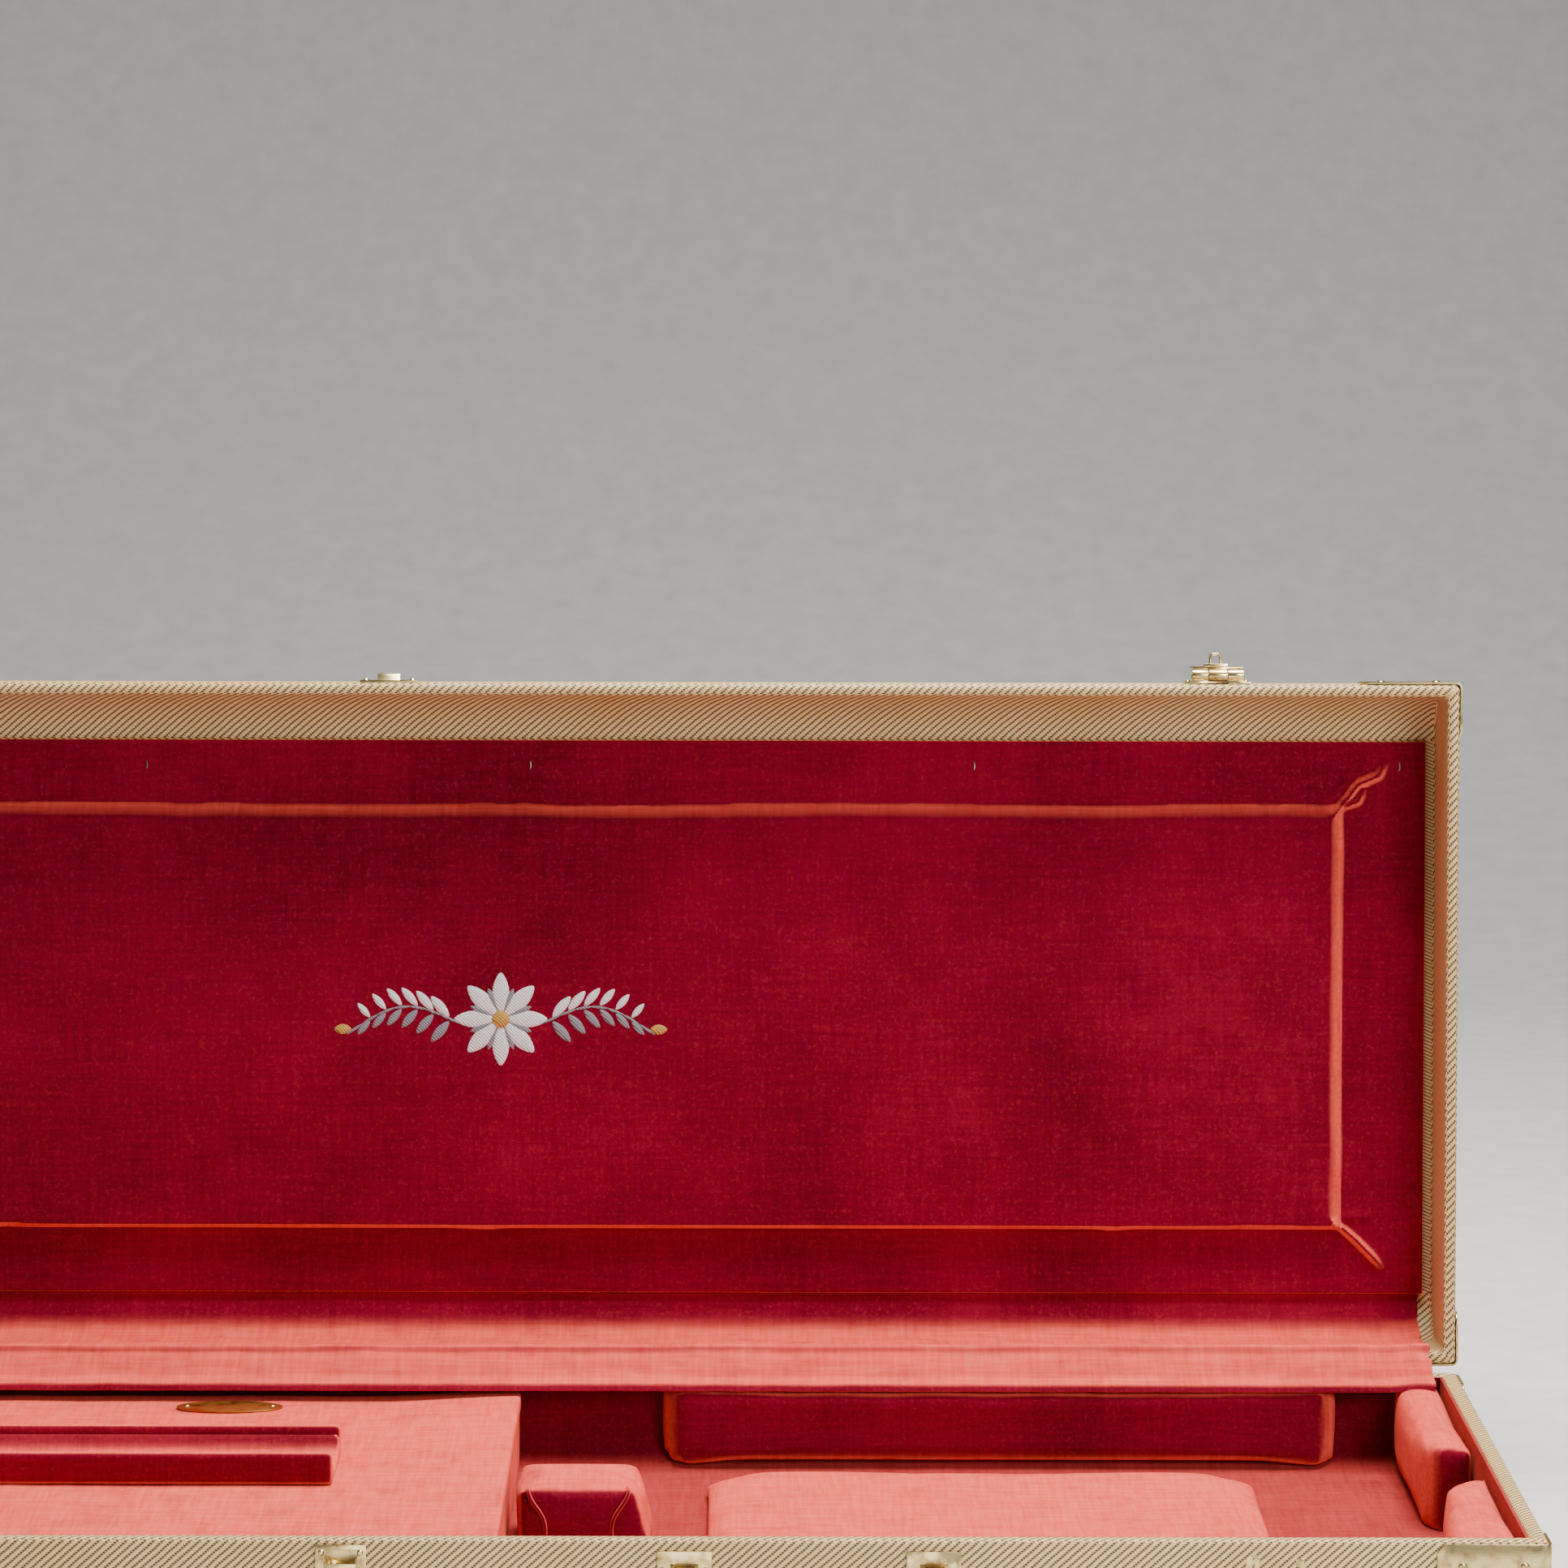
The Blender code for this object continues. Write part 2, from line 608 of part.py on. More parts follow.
def wall_pad(name, outline, seat, corner):
    """A pad against the lining: its outline from above, its lower outer edge cut to the bent corner."""
    pad = add_object(name, lambda bm: plan_block(bm, outline, seat, PAD_TOP), "velvet")
    reach = LINED_HALF_WIDTH - GAP
    side = 1 if sum(y for _, y in outline) > 0 else -1
    low_x = min(x for x, _ in outline) - 0.01
    high_x = max(x for x, _ in outline) + 0.01
    centre = (side * (reach - corner), FLOOR_HEIGHT + corner)
    inside = arc(centre, corner - GAP, -90, 0 if side > 0 else -180, ARC_STEPS)
    outside = 0.004
    section = [(y, z) for y, z in inside]
    section += [(side * (reach + outside), inside[-1][1])]
    section += [(side * (reach + outside), FLOOR_HEIGHT - outside)]
    section += [(inside[0][0], FLOOR_HEIGHT - outside)]
    points = [(low_x, y, z) for y, z in section]
    boolean(pad, lambda bm: extrude_outline(bm, points, (high_x - low_x, 0, 0)), "DIFFERENCE")
    round_edges(pad, PAD_EDGE, angle=70)


def build_compartment():
    low = FLOOR_HEIGHT + GAP
    high = COMPARTMENT_UNDER - GAP
    corner = EDGE_RADIUS - BASE_WALL - GAP - LINER_WALL
    section = trough_section(LINED_HALF_WIDTH - GAP, low, high, corner)
    for name, x in (
        ("compartment_wall_left", COMPARTMENT_LEFT + 0.001),
        ("compartment_wall_right", COMPARTMENT_RIGHT - 0.001 - COMPARTMENT_WALL),
    ):
        points = [(x, y, z) for y, z in section]
        add_object(
            name,
            lambda bm, points=points: extrude_outline(bm, points, (COMPARTMENT_WALL, 0, 0)),
            "velvet",
        )

    hinge = turning_empty("compartment_axis", COMPARTMENT_LINE)
    radius = 0.006
    depth = COMPARTMENT_HALF_DEPTH
    outline = [
        (COMPARTMENT_LEFT, -depth),
        *arc((COMPARTMENT_RIGHT - radius, -depth + radius), radius, -90, 0, 3),
        *arc((COMPARTMENT_RIGHT - radius, depth - radius), radius, 0, 90, 3),
        (COMPARTMENT_LEFT, depth),
    ]
    add_object(
        "compartment_lid",
        lambda bm: plan_block(bm, outline, COMPARTMENT_UNDER, COMPARTMENT_TOP),
        "velvet",
        hinge,
    )

    half = TROUGH_WIDTH / 2
    foot = COMPARTMENT_TOP + GAP
    top = COMPARTMENT_TOP + TROUGH_RISE
    channel = [
        (-half, foot),
        (half, foot),
        (half, top),
        (half - TROUGH_WALL, top),
        (half - TROUGH_WALL, foot + TROUGH_FLOOR),
        (-half + TROUGH_WALL, foot + TROUGH_FLOOR),
        (-half + TROUGH_WALL, top),
        (-half, top),
    ]
    points = [(TROUGH_LEFT, y, z) for y, z in channel]
    trough = add_object(
        "neck_trough",
        lambda bm: extrude_outline(bm, points, (TROUGH_RIGHT - TROUGH_LEFT, 0, 0)),
        "velvet",
        hinge,
    )
    round_edges(trough, 0.0015, segments=1, angle=60)

    cx, cy = NAME_PLATE_CENTRE
    oval = []
    for i in range(32):
        a = 2 * math.pi * i / 32
        oval.append((cx + NAME_PLATE_LENGTH / 2 * math.cos(a), cy + NAME_PLATE_WIDTH / 2 * math.sin(a)))
    add_object(
        "name_plate",
        lambda bm: plan_block(bm, oval, foot, foot + NAME_PLATE_THICKNESS),
        "plate",
        hinge,
    )


# ---------------------------------------------------------------- lid
def build_lid():
    axis = turning_empty("lid_axis", HINGE_LINE, turn=-LID_OPEN_ANGLE)
    drop = BASE_HEIGHT - LID_HEIGHT  # the lid is deeper than the base
    outer = over(trough_section(HALF_WIDTH, drop, RIM, EDGE_RADIUS))
    wall = LID_WALL
    inner = over(trough_section(HALF_WIDTH - wall, drop + wall, RIM, EDGE_RADIUS - wall))
    add_object("lid_wrap", lambda bm: bent_sheet(bm, outer, inner, CASE_LENGTH), "tweed", axis)
    inset = wall + GAP
    panel = over(trough_section(HALF_WIDTH - inset, drop + inset, RIM, EDGE_RADIUS - inset))
    for side, name in ((-1, "lid_end_left"), (1, "lid_end_right")):
        points = [(side * HALF_LENGTH, y, z) for y, z in panel]
        add_object(
            name,
            lambda bm, points=points, side=side: extrude_outline(bm, points, (-side * LID_WALL, 0, 0)),
            "tweed",
            axis,
        )

    high = LID_CEILING - GAP
    low = high - LID_PANEL_THICKNESS
    half_x = HALF_LENGTH - LID_PANEL_END_MARGIN
    half_y = HALF_WIDTH - LID_PANEL_MARGIN
    board = add_object(
        "lid_panel",
        lambda bm: box(bm, (-half_x, -half_y, low), (half_x, half_y, high)),
        "velvet",
        axis,
    )
    round_edges(board, 0.0012, segments=1)
    pad_high = low - GAP
    pad_low = pad_high - LID_FIELD_THICKNESS
    pad_x = HALF_LENGTH - LID_FIELD_END_MARGIN
    pad_y = HALF_WIDTH - LID_FIELD_MARGIN
    field = add_object(
        "lid_pad",
        lambda bm: box(bm, (-pad_x, -pad_y, pad_low), (pad_x, pad_y, pad_high)),
        "velvet",
        axis,
    )
    round_edges(field, 0.003)

    # the cloth strip over the hinges lies in the lid's hinge-side cove
    thickness = HINGE_STRIP_THICKNESS
    face = HALF_WIDTH - wall - GAP
    radius = EDGE_RADIUS - wall - GAP
    outside = arc((face - radius, LID_CEILING - GAP - radius), radius, 0, 62, 6)
    inside = arc((face - radius, LID_CEILING - GAP - radius), radius - thickness, 62, 0, 6)
    start = LID_RIM + 0.002
    section = [(face, start), *outside, *inside, (face - thickness, start)]
    half = HALF_LENGTH - wall - 2 * GAP
    points = [(-half, y, z) for y, z in section]
    add_object(
        "hinge_strip",
        lambda bm: extrude_outline(bm, points, (2 * half, 0, 0)),
        "velvet",
        axis,
    )
    return axis


# ---------------------------------------------------------------- corner brackets
def corner_bracket(bm, side_x, side_y, low, high):
    """An angle plate bent round one upright corner, outside both walls."""
    t = BRACKET_THICKNESS
    x0 = side_x * (HALF_LENGTH + GAP)
    y0 = side_y * (HALF_WIDTH + GAP)
    x1 = x0 + side_x * t
    y1 = y0 + side_y * t
    outline = [
        (x0 - side_x * BRACKET_LONG_LEG, y0),
        (x0, y0),
        (x0, y0 - side_y * BRACKET_END_LEG),
        (x1, y0 - side_y * BRACKET_END_LEG),
        (x1, y1),
        (x0 - side_x * BRACKET_LONG_LEG, y1),
    ]
    plan_block(bm, outline, low, high)


def build_brackets(lid_axis):
    sides = ((-1, -1, "front_left"), (1, -1, "front_right"), (-1, 1, "back_left"), (1, 1, "back_right"))
    base_high = RIM - BRACKET_RIM_DROP
    lid_low = LID_RIM + BRACKET_RIM_DROP
    for side_x, side_y, word in sides:
        low = base_high - BRACKET_HEIGHT
        add_object(
            f"base_bracket_{word}",
            lambda bm, x=side_x, y=side_y, low=low: corner_bracket(bm, x, y, low, base_high),
            "brass",
        )
        add_object(
            f"lid_bracket_{word}",
            lambda bm, x=side_x, y=side_y: corner_bracket(bm, x, y, lid_low, lid_low + BRACKET_HEIGHT),
            "brass",
            lid_axis,
        )


# ---------------------------------------------------------------- hinges
def knuckle_spans():
    """The middle knuckle is the lid's, the two outer ones are the base's."""
    third = HINGE_WIDTH / 3
    half = HINGE_WIDTH / 2
    return {
        "lid": [(-third / 2 + KNUCKLE_GAP / 2, third / 2 - KNUCKLE_GAP / 2)],
        "base": [(-half, -third / 2 - KNUCKLE_GAP / 2), (third / 2 + KNUCKLE_GAP / 2, half)],
    }


def build_hinge(number, x, lid_axis):
    face = BACK_FACE + GAP
    middle = HINGE_LINE.z
    cuff = KNUCKLE_RADIUS + KNUCKLE_GAP
    for owner, direction, parent in (("base", -1, None), ("lid", 1, lid_axis)):
        spans = knuckle_spans()[owner]

        def leaf(bm, direction=direction, spans=spans):
            ends = sorted((middle + direction * cuff, middle + direction * HINGE_LEAF_HEIGHT))
            box(
                bm,
                (x - HINGE_WIDTH / 2, face, ends[0]),
                (x + HINGE_WIDTH / 2, face + LEAF_THICKNESS, ends[1]),
            )

        name = f"hinge_{owner}_leaf_{number}"
        obj = add_object(name, leaf, "brass", parent)
        for low, high in spans:
            knuckle = (x + (low + high) / 2, HINGE_LINE.y, middle)
            root = sorted((middle, middle + direction * (cuff + LEAF_OVERLAP)))
            boolean(
                obj,
                lambda bm, low=low, high=high, root=root: box(
                    bm, (x + low, face, root[0]), (x + high, face + LEAF_THICKNESS, root[1])
                ),
                "UNION",
                parent,
            )
            boolean(
                obj,
                lambda bm, knuckle=knuckle, length=high - low: cylinder(
                    bm, knuckle, KNUCKLE_RADIUS, length
                ),
                "UNION",
                parent,
            )
        bore = PIN_RADIUS + PIN_CLEARANCE
        boolean(
            obj,
            lambda bm: cylinder(bm, (x, HINGE_LINE.y, middle), bore, HINGE_WIDTH * 1.2),
            "DIFFERENCE",
            parent,
        )
        rivet_z = middle + direction * HINGE_LEAF_HEIGHT * HINGE_RIVET_RISE
        for offset in (-HINGE_RIVET_OFFSET, HINGE_RIVET_OFFSET):
            place = (x + offset * HINGE_WIDTH, rivet_z)
            boolean(
                obj,
                lambda bm, place=place: rivet(bm, place, face + LEAF_THICKNESS, 1),
                "UNION",
                parent,
            )

    def pin(bm):
        cylinder(bm, (x, HINGE_LINE.y, middle), PIN_RADIUS, HINGE_WIDTH + 0.001, sides=12)

    add_object(f"hinge_pin_{number}", pin, "brass", smooth=True)


# ---------------------------------------------------------------- draw latches
def build_latch(word, x, lid_axis):
    face = FRONT_FACE - GAP
    high = RIM - 0.003
    low = high - LATCH_PLATE_HEIGHT
    half = LATCH_PLATE_WIDTH / 2
    outer = face - LATCH_PLATE_THICKNESS
    pivot = Vector((x, FRONT_FACE - LATCH_PIVOT_STANDOFF, LATCH_PIVOT_HEIGHT))

    plate = add_object(
        f"latch_plate_{word}",
        lambda bm: box(bm, (x - half, outer, low), (x + half, face, high)),
        "brass",
    )
    ear_reach = LATCH_PIN_RADIUS + PIN_CLEARANCE + EAR_RIM
    for side in (-1, 1):
        inner_x, outer_x = sorted((x + side * EAR_OFFSET, x + side * (EAR_OFFSET - EAR_THICKNESS)))
        boolean(
            plate,
            lambda bm, a=inner_x, b=outer_x: box(
                bm,
                (a, pivot.y - ear_reach, pivot.z - ear_reach),
                (b, face - LATCH_PLATE_THICKNESS / 2, pivot.z + ear_reach),
            ),
            "UNION",
        )
    bore = LATCH_PIN_RADIUS + PIN_CLEARANCE
    boolean(plate, lambda bm: cylinder(bm, pivot, bore, LEVER_WIDTH * 0.9, sides=12), "DIFFERENCE")
    for dx in (-1, 1):
        place = (x + dx * (half - 0.003), high - 0.004)
        boolean(plate, lambda bm, place=place: rivet(bm, place, outer, -1), "UNION")

    lever_axis = turning_empty(f"lever_axis_{word}", pivot)
    cover_out = pivot.y - LEVER_COVER_STANDOFF
    cover_in = cover_out + LEVER_SHEET
    lever_high = pivot.z + LEVER_HEAD
    lever_low = lever_high - LEVER_LENGTH
    lever_half = LEVER_WIDTH / 2
    lever = add_object(
        f"latch_lever_{word}",
        lambda bm: box(bm, (x - lever_half, cover_out, lever_low), (x + lever_half, cover_in, lever_high)),
        "brass",
        lever_axis,
    )
    loop_pin = Vector((x, pivot.y - LOOP_PIN_STANDOFF, pivot.z - LOOP_PIN_DROP))
    cheek_in = pivot.y + LEVER_CHEEK_DEPTH
    for side in (-1, 1):
        a, b = sorted((x + side * lever_half, x + side * (lever_half - LEVER_SHEET)))
        boolean(
            lever,
            lambda bm, a=a, b=b: box(
                bm, (a, cover_out + LEVER_SHEET / 2, loop_pin.z - 0.004), (b, cheek_in, lever_high)
            ),
            "UNION",
            lever_axis,
        )
    boolean(
        lever,
        lambda bm: cylinder(bm, pivot, LATCH_PIN_RADIUS, LEVER_WIDTH - LEVER_SHEET, sides=12),
        "UNION",
        lever_axis,
    )
    stub_bore = LOOP_WIRE_RADIUS + PIN_CLEARANCE
    boolean(
        lever,
        lambda bm: cylinder(bm, loop_pin, stub_bore, LEVER_WIDTH * 1.5, sides=12),
        "DIFFERENCE",
        lever_axis,
    )

    loop_axis = turning_empty(f"loop_axis_{word}", loop_pin, lever_axis)
    leg = lever_half + LOOP_SIDE_GAP + LOOP_WIRE_RADIUS
    reach = catch_height() + LOOP_WIRE_RADIUS + 2 * GAP - loop_pin.z
    stub = lever_half - LEVER_SHEET + LOOP_STUB_REACH

    def loop(bm):
        y, z = loop_pin.y, loop_pin.z
        corners = [
            (x - stub, y, z),
            (x - leg, y, z),
            (x - leg, y, z - reach),
            (x + leg, y, z - reach),
            (x + leg, y, z),
            (x + stub, y, z),
        ]
        tube(bm, cornered_path(corners, LOOP_BEND, 2), LOOP_WIRE_RADIUS)

    add_object(f"latch_loop_{word}", loop, "brass", loop_axis, smooth=True)

    keeper_low = LID_RIM + KEEPER_RIM_RISE
    keeper_half = KEEPER_PLATE_WIDTH / 2
    keeper = add_object(
        f"latch_keeper_{word}",
        lambda bm: box(
            bm,
            (x - keeper_half, outer, keeper_low),
            (x + keeper_half, face, keeper_low + KEEPER_PLATE_HEIGHT),
        ),
        "brass",
        lid_axis,
    )
    hump_high = catch_height()
    hump_low = hump_high - KEEPER_HUMP_SPAN
    hump_out = face - KEEPER_HUMP_HEIGHT
    hump = [
        (face - 0.0004, hump_low - 0.0015),
        (hump_out + 0.001, hump_low),
        (hump_out, hump_low + 0.0012),
        (hump_out, hump_high),
        (face - 0.0004, hump_high),
    ]
    points = [(x - KEEPER_HUMP_WIDTH / 2, y, z) for y, z in hump]
    boolean(keeper, lambda bm: extrude_outline(bm, points, (KEEPER_HUMP_WIDTH, 0, 0)), "UNION", lid_axis)
    for dx in (-1, 1):
        for dz in (0.003, KEEPER_PLATE_HEIGHT - 0.003):
            place = (x + dx * (keeper_half - 0.0033), keeper_low + dz)
            boolean(keeper, lambda bm, place=place: rivet(bm, place, outer, -1), "UNION", lid_axis)


def catch_height():
    """Top of the keeper's hump, which the loop's bar bears on."""
    return LID_RIM + KEEPER_RIM_RISE + 0.0075


# ---------------------------------------------------------------- lock and hasp
def build_lock(lid_axis):
    x = HASP_PLACE
    z = LOCK_CENTRE_HEIGHT
    half = LOCK_WIDTH / 2
    lock = add_object(
        "lock_body",
        lambda bm: box(
            bm,
            (x - half, FRONT_FACE + 0.0002, z - LOCK_HEIGHT / 2),
            (x + half, FRONT_FACE + LOCK_DEPTH, z + LOCK_HEIGHT / 2),
        ),
        "brass",
    )
    sink = 0.0082
    slot_x = HASP_BOSS_WIDTH / 2 + LOCK_SLOT_CLEARANCE
    slot_z = 0.0036
    boolean(
        lock,
        lambda bm: box(
            bm,
            (x - slot_x, FRONT_FACE - 0.001, z - slot_z),
            (x + slot_x, FRONT_FACE + sink, z + slot_z),
        ),
        "DIFFERENCE",
    )
    key_x = x - KEYWAY_OFFSET
    bore = LOCK_CYLINDER_RADIUS + PIN_CLEARANCE
    bore_length = 2 * LOCK_BORE_DEPTH + CUT_MARGIN
    boolean(
        lock,
        lambda bm: cylinder(bm, (key_x, FRONT_FACE - CUT_MARGIN / 2, z), bore, bore_length, "Y", 20),
        "DIFFERENCE",
    )
    button_half = LOCK_BUTTON_WIDTH / 2
    slide_low = LOCK_BUTTON_LINE.z - button_half
    slide_high = LOCK_BUTTON_LINE.z + button_half
    button_x = LOCK_BUTTON_LINE.x
    room = LOCK_BUTTON_ROOM
    slot_end = FRONT_FACE + LOCK_BUTTON_DEPTH + room
    slot_low = slide_low - room - LOCK_BUTTON_TRAVEL
    boolean(
        lock,
        lambda bm: box(
            bm,
            (button_x - button_half - room, FRONT_FACE - CUT_MARGIN, slot_low),
            (button_x + button_half + room, slot_end, slide_high + room),
        ),
        "DIFFERENCE",
    )
    face = FRONT_FACE - LOCK_PART_RISE
    barrel_end = FRONT_FACE + LOCK_CYLINDER_DEPTH
    barrel = add_object(
        "lock_cylinder",
        lambda bm: cylinder(
            bm,
            (key_x, (face + barrel_end) / 2, z),
            LOCK_CYLINDER_RADIUS,
            barrel_end - face,
            "Y",
            20,
        ),
        "brass",
        turning_empty("lock_axis", (key_x, FRONT_FACE, z)),
    )
    key_x_half = KEYWAY_WIDTH / 2
    key_z_half = KEYWAY_HEIGHT / 2
    boolean(
        barrel,
        lambda bm: box(
            bm,
            (key_x - key_x_half, face - CUT_MARGIN, z - key_z_half),
            (key_x + key_x_half, face + KEYWAY_DEPTH, z + key_z_half),
        ),
        "DIFFERENCE",
        barrel.parent,
    )
    add_object(
        "lock_button",
        lambda bm: box(
            bm,
            (button_x - button_half, face, slide_low),
            (button_x + button_half, FRONT_FACE + LOCK_BUTTON_DEPTH, slide_high),
        ),
        "brass",
        turning_empty("button_axis", LOCK_BUTTON_LINE),
    )

    low = LID_RIM + HASP_PLATE_RISE
    plate_out = FRONT_FACE - GAP - LATCH_PLATE_THICKNESS
    hasp_plate = add_object(
        "hasp_plate",
        lambda bm: box(
            bm,
            (x - HASP_WIDTH / 2, plate_out, low),
            (x + HASP_WIDTH / 2, FRONT_FACE - GAP, low + HASP_PLATE_HEIGHT),
        ),
        "brass",
        lid_axis,
    )
    pin_bore = HASP_PIN_RADIUS + PIN_CLEARANCE
    length = HASP_KNUCKLE_END - HASP_KNUCKLE_START
    root_y = HASP_LINE.y + HASP_KNUCKLE_RADIUS / 2
    root_half = HASP_KNUCKLE_RADIUS * 2 / 3
    for side in (-1, 1):
        centre = x + side * (HASP_KNUCKLE_START + HASP_KNUCKLE_END) / 2
        boolean(
            hasp_plate,
            lambda bm, c=centre: cylinder(
                bm, (c, HASP_LINE.y, HASP_LINE.z), HASP_KNUCKLE_RADIUS, length
            ),
            "UNION",
            lid_axis,
        )
        boolean(
            hasp_plate,
            lambda bm, c=centre: box(
                bm,
                (c - length / 2, root_y, HASP_LINE.z - root_half),
                (c + length / 2, plate_out + LEAF_OVERLAP, HASP_LINE.z + root_half),
            ),
            "UNION",
            lid_axis,
        )
        place = (x + side * (HASP_WIDTH / 2 - HASP_RIVET_INSET), low + HASP_RIVET_HEIGHT)
        boolean(hasp_plate, lambda bm, p=place: rivet(bm, p, plate_out, -1), "UNION", lid_axis)
    boolean(hasp_plate, lambda bm: cylinder(bm, HASP_LINE, pin_bore, HASP_WIDTH), "DIFFERENCE", lid_axis)

    # the flap's neck lies in this notch when the flap is down
    notch_half = HASP_KNUCKLE_START
    notch_top = HASP_LINE.z + HASP_NOTCH_RISE
    boolean(
        hasp_plate,
        lambda bm: box(
            bm,
            (x - notch_half, plate_out - CUT_MARGIN, low - CUT_MARGIN),
            (x + notch_half, FRONT_FACE - GAP + CUT_MARGIN, notch_top),
        ),
        "DIFFERENCE",
        lid_axis,
    )
    add_object(
        "hasp_pin",
        lambda bm: cylinder(bm, HASP_LINE, HASP_PIN_RADIUS, 2 * HASP_KNUCKLE_END + CUT_MARGIN, sides=12),
        "brass",
        lid_axis,
        smooth=True,
    )

    # the flap is folded back over the lid; its plate touches the barrel's outer side
    hasp_axis = turning_empty("hasp_axis", HASP_LINE, lid_axis)
    plate_in = HASP_LINE.y - HASP_KNUCKLE_RADIUS
    sheet = HASP_FLAP_THICKNESS
    flap_half = HASP_FLAP_WIDTH / 2
    centre_half = HASP_KNUCKLE_START - KNUCKLE_GAP
    flap = add_object(
        "hasp_flap",
        lambda bm: box(
            bm,
            (x - flap_half, plate_in - sheet, HASP_LINE.z + HASP_KNUCKLE_RADIUS),
            (x + flap_half, plate_in, HASP_LINE.z + HASP_FLAP_LENGTH),
        ),
        "brass",
        hasp_axis,
    )
    boolean(
        flap,
        lambda bm: box(
            bm,
            (x - centre_half, plate_in - sheet, HASP_LINE.z),
            (x + centre_half, plate_in + LEAF_OVERLAP, HASP_LINE.z + HASP_KNUCKLE_RADIUS + CUT_MARGIN),
        ),
        "UNION",
        hasp_axis,
    )
    boolean(
        flap,
        lambda bm: cylinder(bm, HASP_LINE, HASP_KNUCKLE_RADIUS, 2 * centre_half),
        "UNION",
        hasp_axis,
    )
    boolean(flap, lambda bm: cylinder(bm, HASP_LINE, pin_bore, HASP_WIDTH), "DIFFERENCE", hasp_axis)
    staple_z = HASP_LINE.z + STAPLE_REACH
    boss_out = plate_in - sheet - HASP_BOSS_RISE
    boolean(
        flap,
        lambda bm: box(
            bm,
            (x - HASP_BOSS_WIDTH / 2, boss_out, staple_z - HASP_BOSS_HEIGHT / 2),
            (x + HASP_BOSS_WIDTH / 2, plate_in - sheet / 2, staple_z + HASP_BOSS_HEIGHT / 2),
        ),
        "UNION",
        hasp_axis,
    )

    def staple(bm):
        half = STAPLE_WIDTH / 2
        root = boss_out + LEAF_OVERLAP
        tip = boss_out - STAPLE_RISE
        corners = [(x - half, root, staple_z), (x - half, tip, staple_z), (x + half, tip, staple_z)]
        corners.append((x + half, root, staple_z))
        tube(bm, cornered_path(corners, STAPLE_BEND, 3), STAPLE_WIRE_RADIUS)

    boolean(flap, staple, "UNION", hasp_axis)


# ---------------------------------------------------------------- handle
def build_handle():
    x = HANDLE_PLACE
    y, z = HANDLE_LINE.y, HANDLE_LINE.z
    face = FRONT_FACE - GAP
    outer = face - LATCH_PLATE_THICKNESS
    half = HANDLE_SPAN / 2
    ring = HANDLE_RING_RADIUS
    for side, word in ((-1, "left"), (1, "right")):
        cx = x + side * half
        plate = add_object(
            f"handle_plate_{word}",
            lambda bm, cx=cx: box(
                bm,
                (cx - HANDLE_PLATE_WIDTH / 2, outer, z - HANDLE_PLATE_HEIGHT / 2),
                (cx + HANDLE_PLATE_WIDTH / 2, face, z + HANDLE_PLATE_HEIGHT / 2),
            ),
            "brass",
        )
        ear_half = HANDLE_EAR_START
        for ear in (-1, 1):
            a, b = sorted((cx + ear * ear_half, cx + ear * (ear_half + HANDLE_EAR_THICKNESS)))
            boolean(
                plate,
                lambda bm, a=a, b=b: box(
                    bm,
                    (a, y - HANDLE_EAR_HALF, z - HANDLE_EAR_HALF),
                    (b, outer + LEAF_OVERLAP, z + HANDLE_EAR_HALF),
                ),
                "UNION",
            )
        boolean(
            plate,
            lambda bm, cx=cx: cylinder(bm, (cx, y, z), ring + PIN_CLEARANCE * 2, HANDLE_BORE_LENGTH),
            "DIFFERENCE",
        )
        for dx in (-1, 1):
            place = (cx + dx * (HANDLE_PLATE_WIDTH / 2 - HANDLE_RIVET_INSET), z)
            boolean(plate, lambda bm, place=place: rivet(bm, place, outer, -1), "UNION")

    swing = turning_empty("handle_axis", HANDLE_LINE)
    falling = [(x - half + inset, y, z - drop) for inset, drop in HANDLE_GRIP_LINE]
    rising = [(x + half - inset, y, z - drop) for inset, drop in reversed(HANDLE_GRIP_LINE)]
    grip = [*falling, (x, y, z - HANDLE_DROP), *rising]
    add_object(
        "handle_grip",
        lambda bm: tube(bm, cornered_path(grip, HANDLE_GRIP_BEND, 2), HANDLE_GRIP_RADIUS, 12),
        "leather",
        swing,
        smooth=True,
    )
    for side, word in ((-1, "left"), (1, "right")):
        cx = x + side * half

        def eye(bm, cx=cx):
            cylinder(bm, (cx, y, z), ring, HANDLE_EYE_LENGTH, sides=12)

        def stem(bm, cx=cx):
            box(
                bm,
                (cx - HANDLE_POST_HALF, y - HANDLE_STEM_HALF, z - HANDLE_STEM_LENGTH),
                (cx + HANDLE_POST_HALF, y + HANDLE_STEM_HALF, z + HANDLE_STEM_HALF),
            )

        link = add_object(f"handle_link_{word}", stem, "brass", swing)
        boolean(link, eye, "UNION", swing)


# ---------------------------------------------------------------- whole case
def main():
    build_base()
    build_pads()
    build_compartment()
    lid_axis = build_lid()
    build_brackets(lid_axis)
    for number, x in enumerate(HINGE_PLACES, 1):
        build_hinge(number, x, lid_axis)
    for word, x in zip(("left", "middle"), LATCH_PLACES):
        build_latch(word, x, lid_axis)
    build_lock(lid_axis)
    build_handle()


clear_scene()
MATERIALS = make_materials()
main()
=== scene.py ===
"""Looks of a hard guitar case standing open: tweed over bent plywood, crimson plush over foam and
board, and plated hardware. Lid pieces are modelled on a closed case and then turned open."""

import json
import math

import bmesh
import bpy
from mathutils import Matrix, Vector, noise


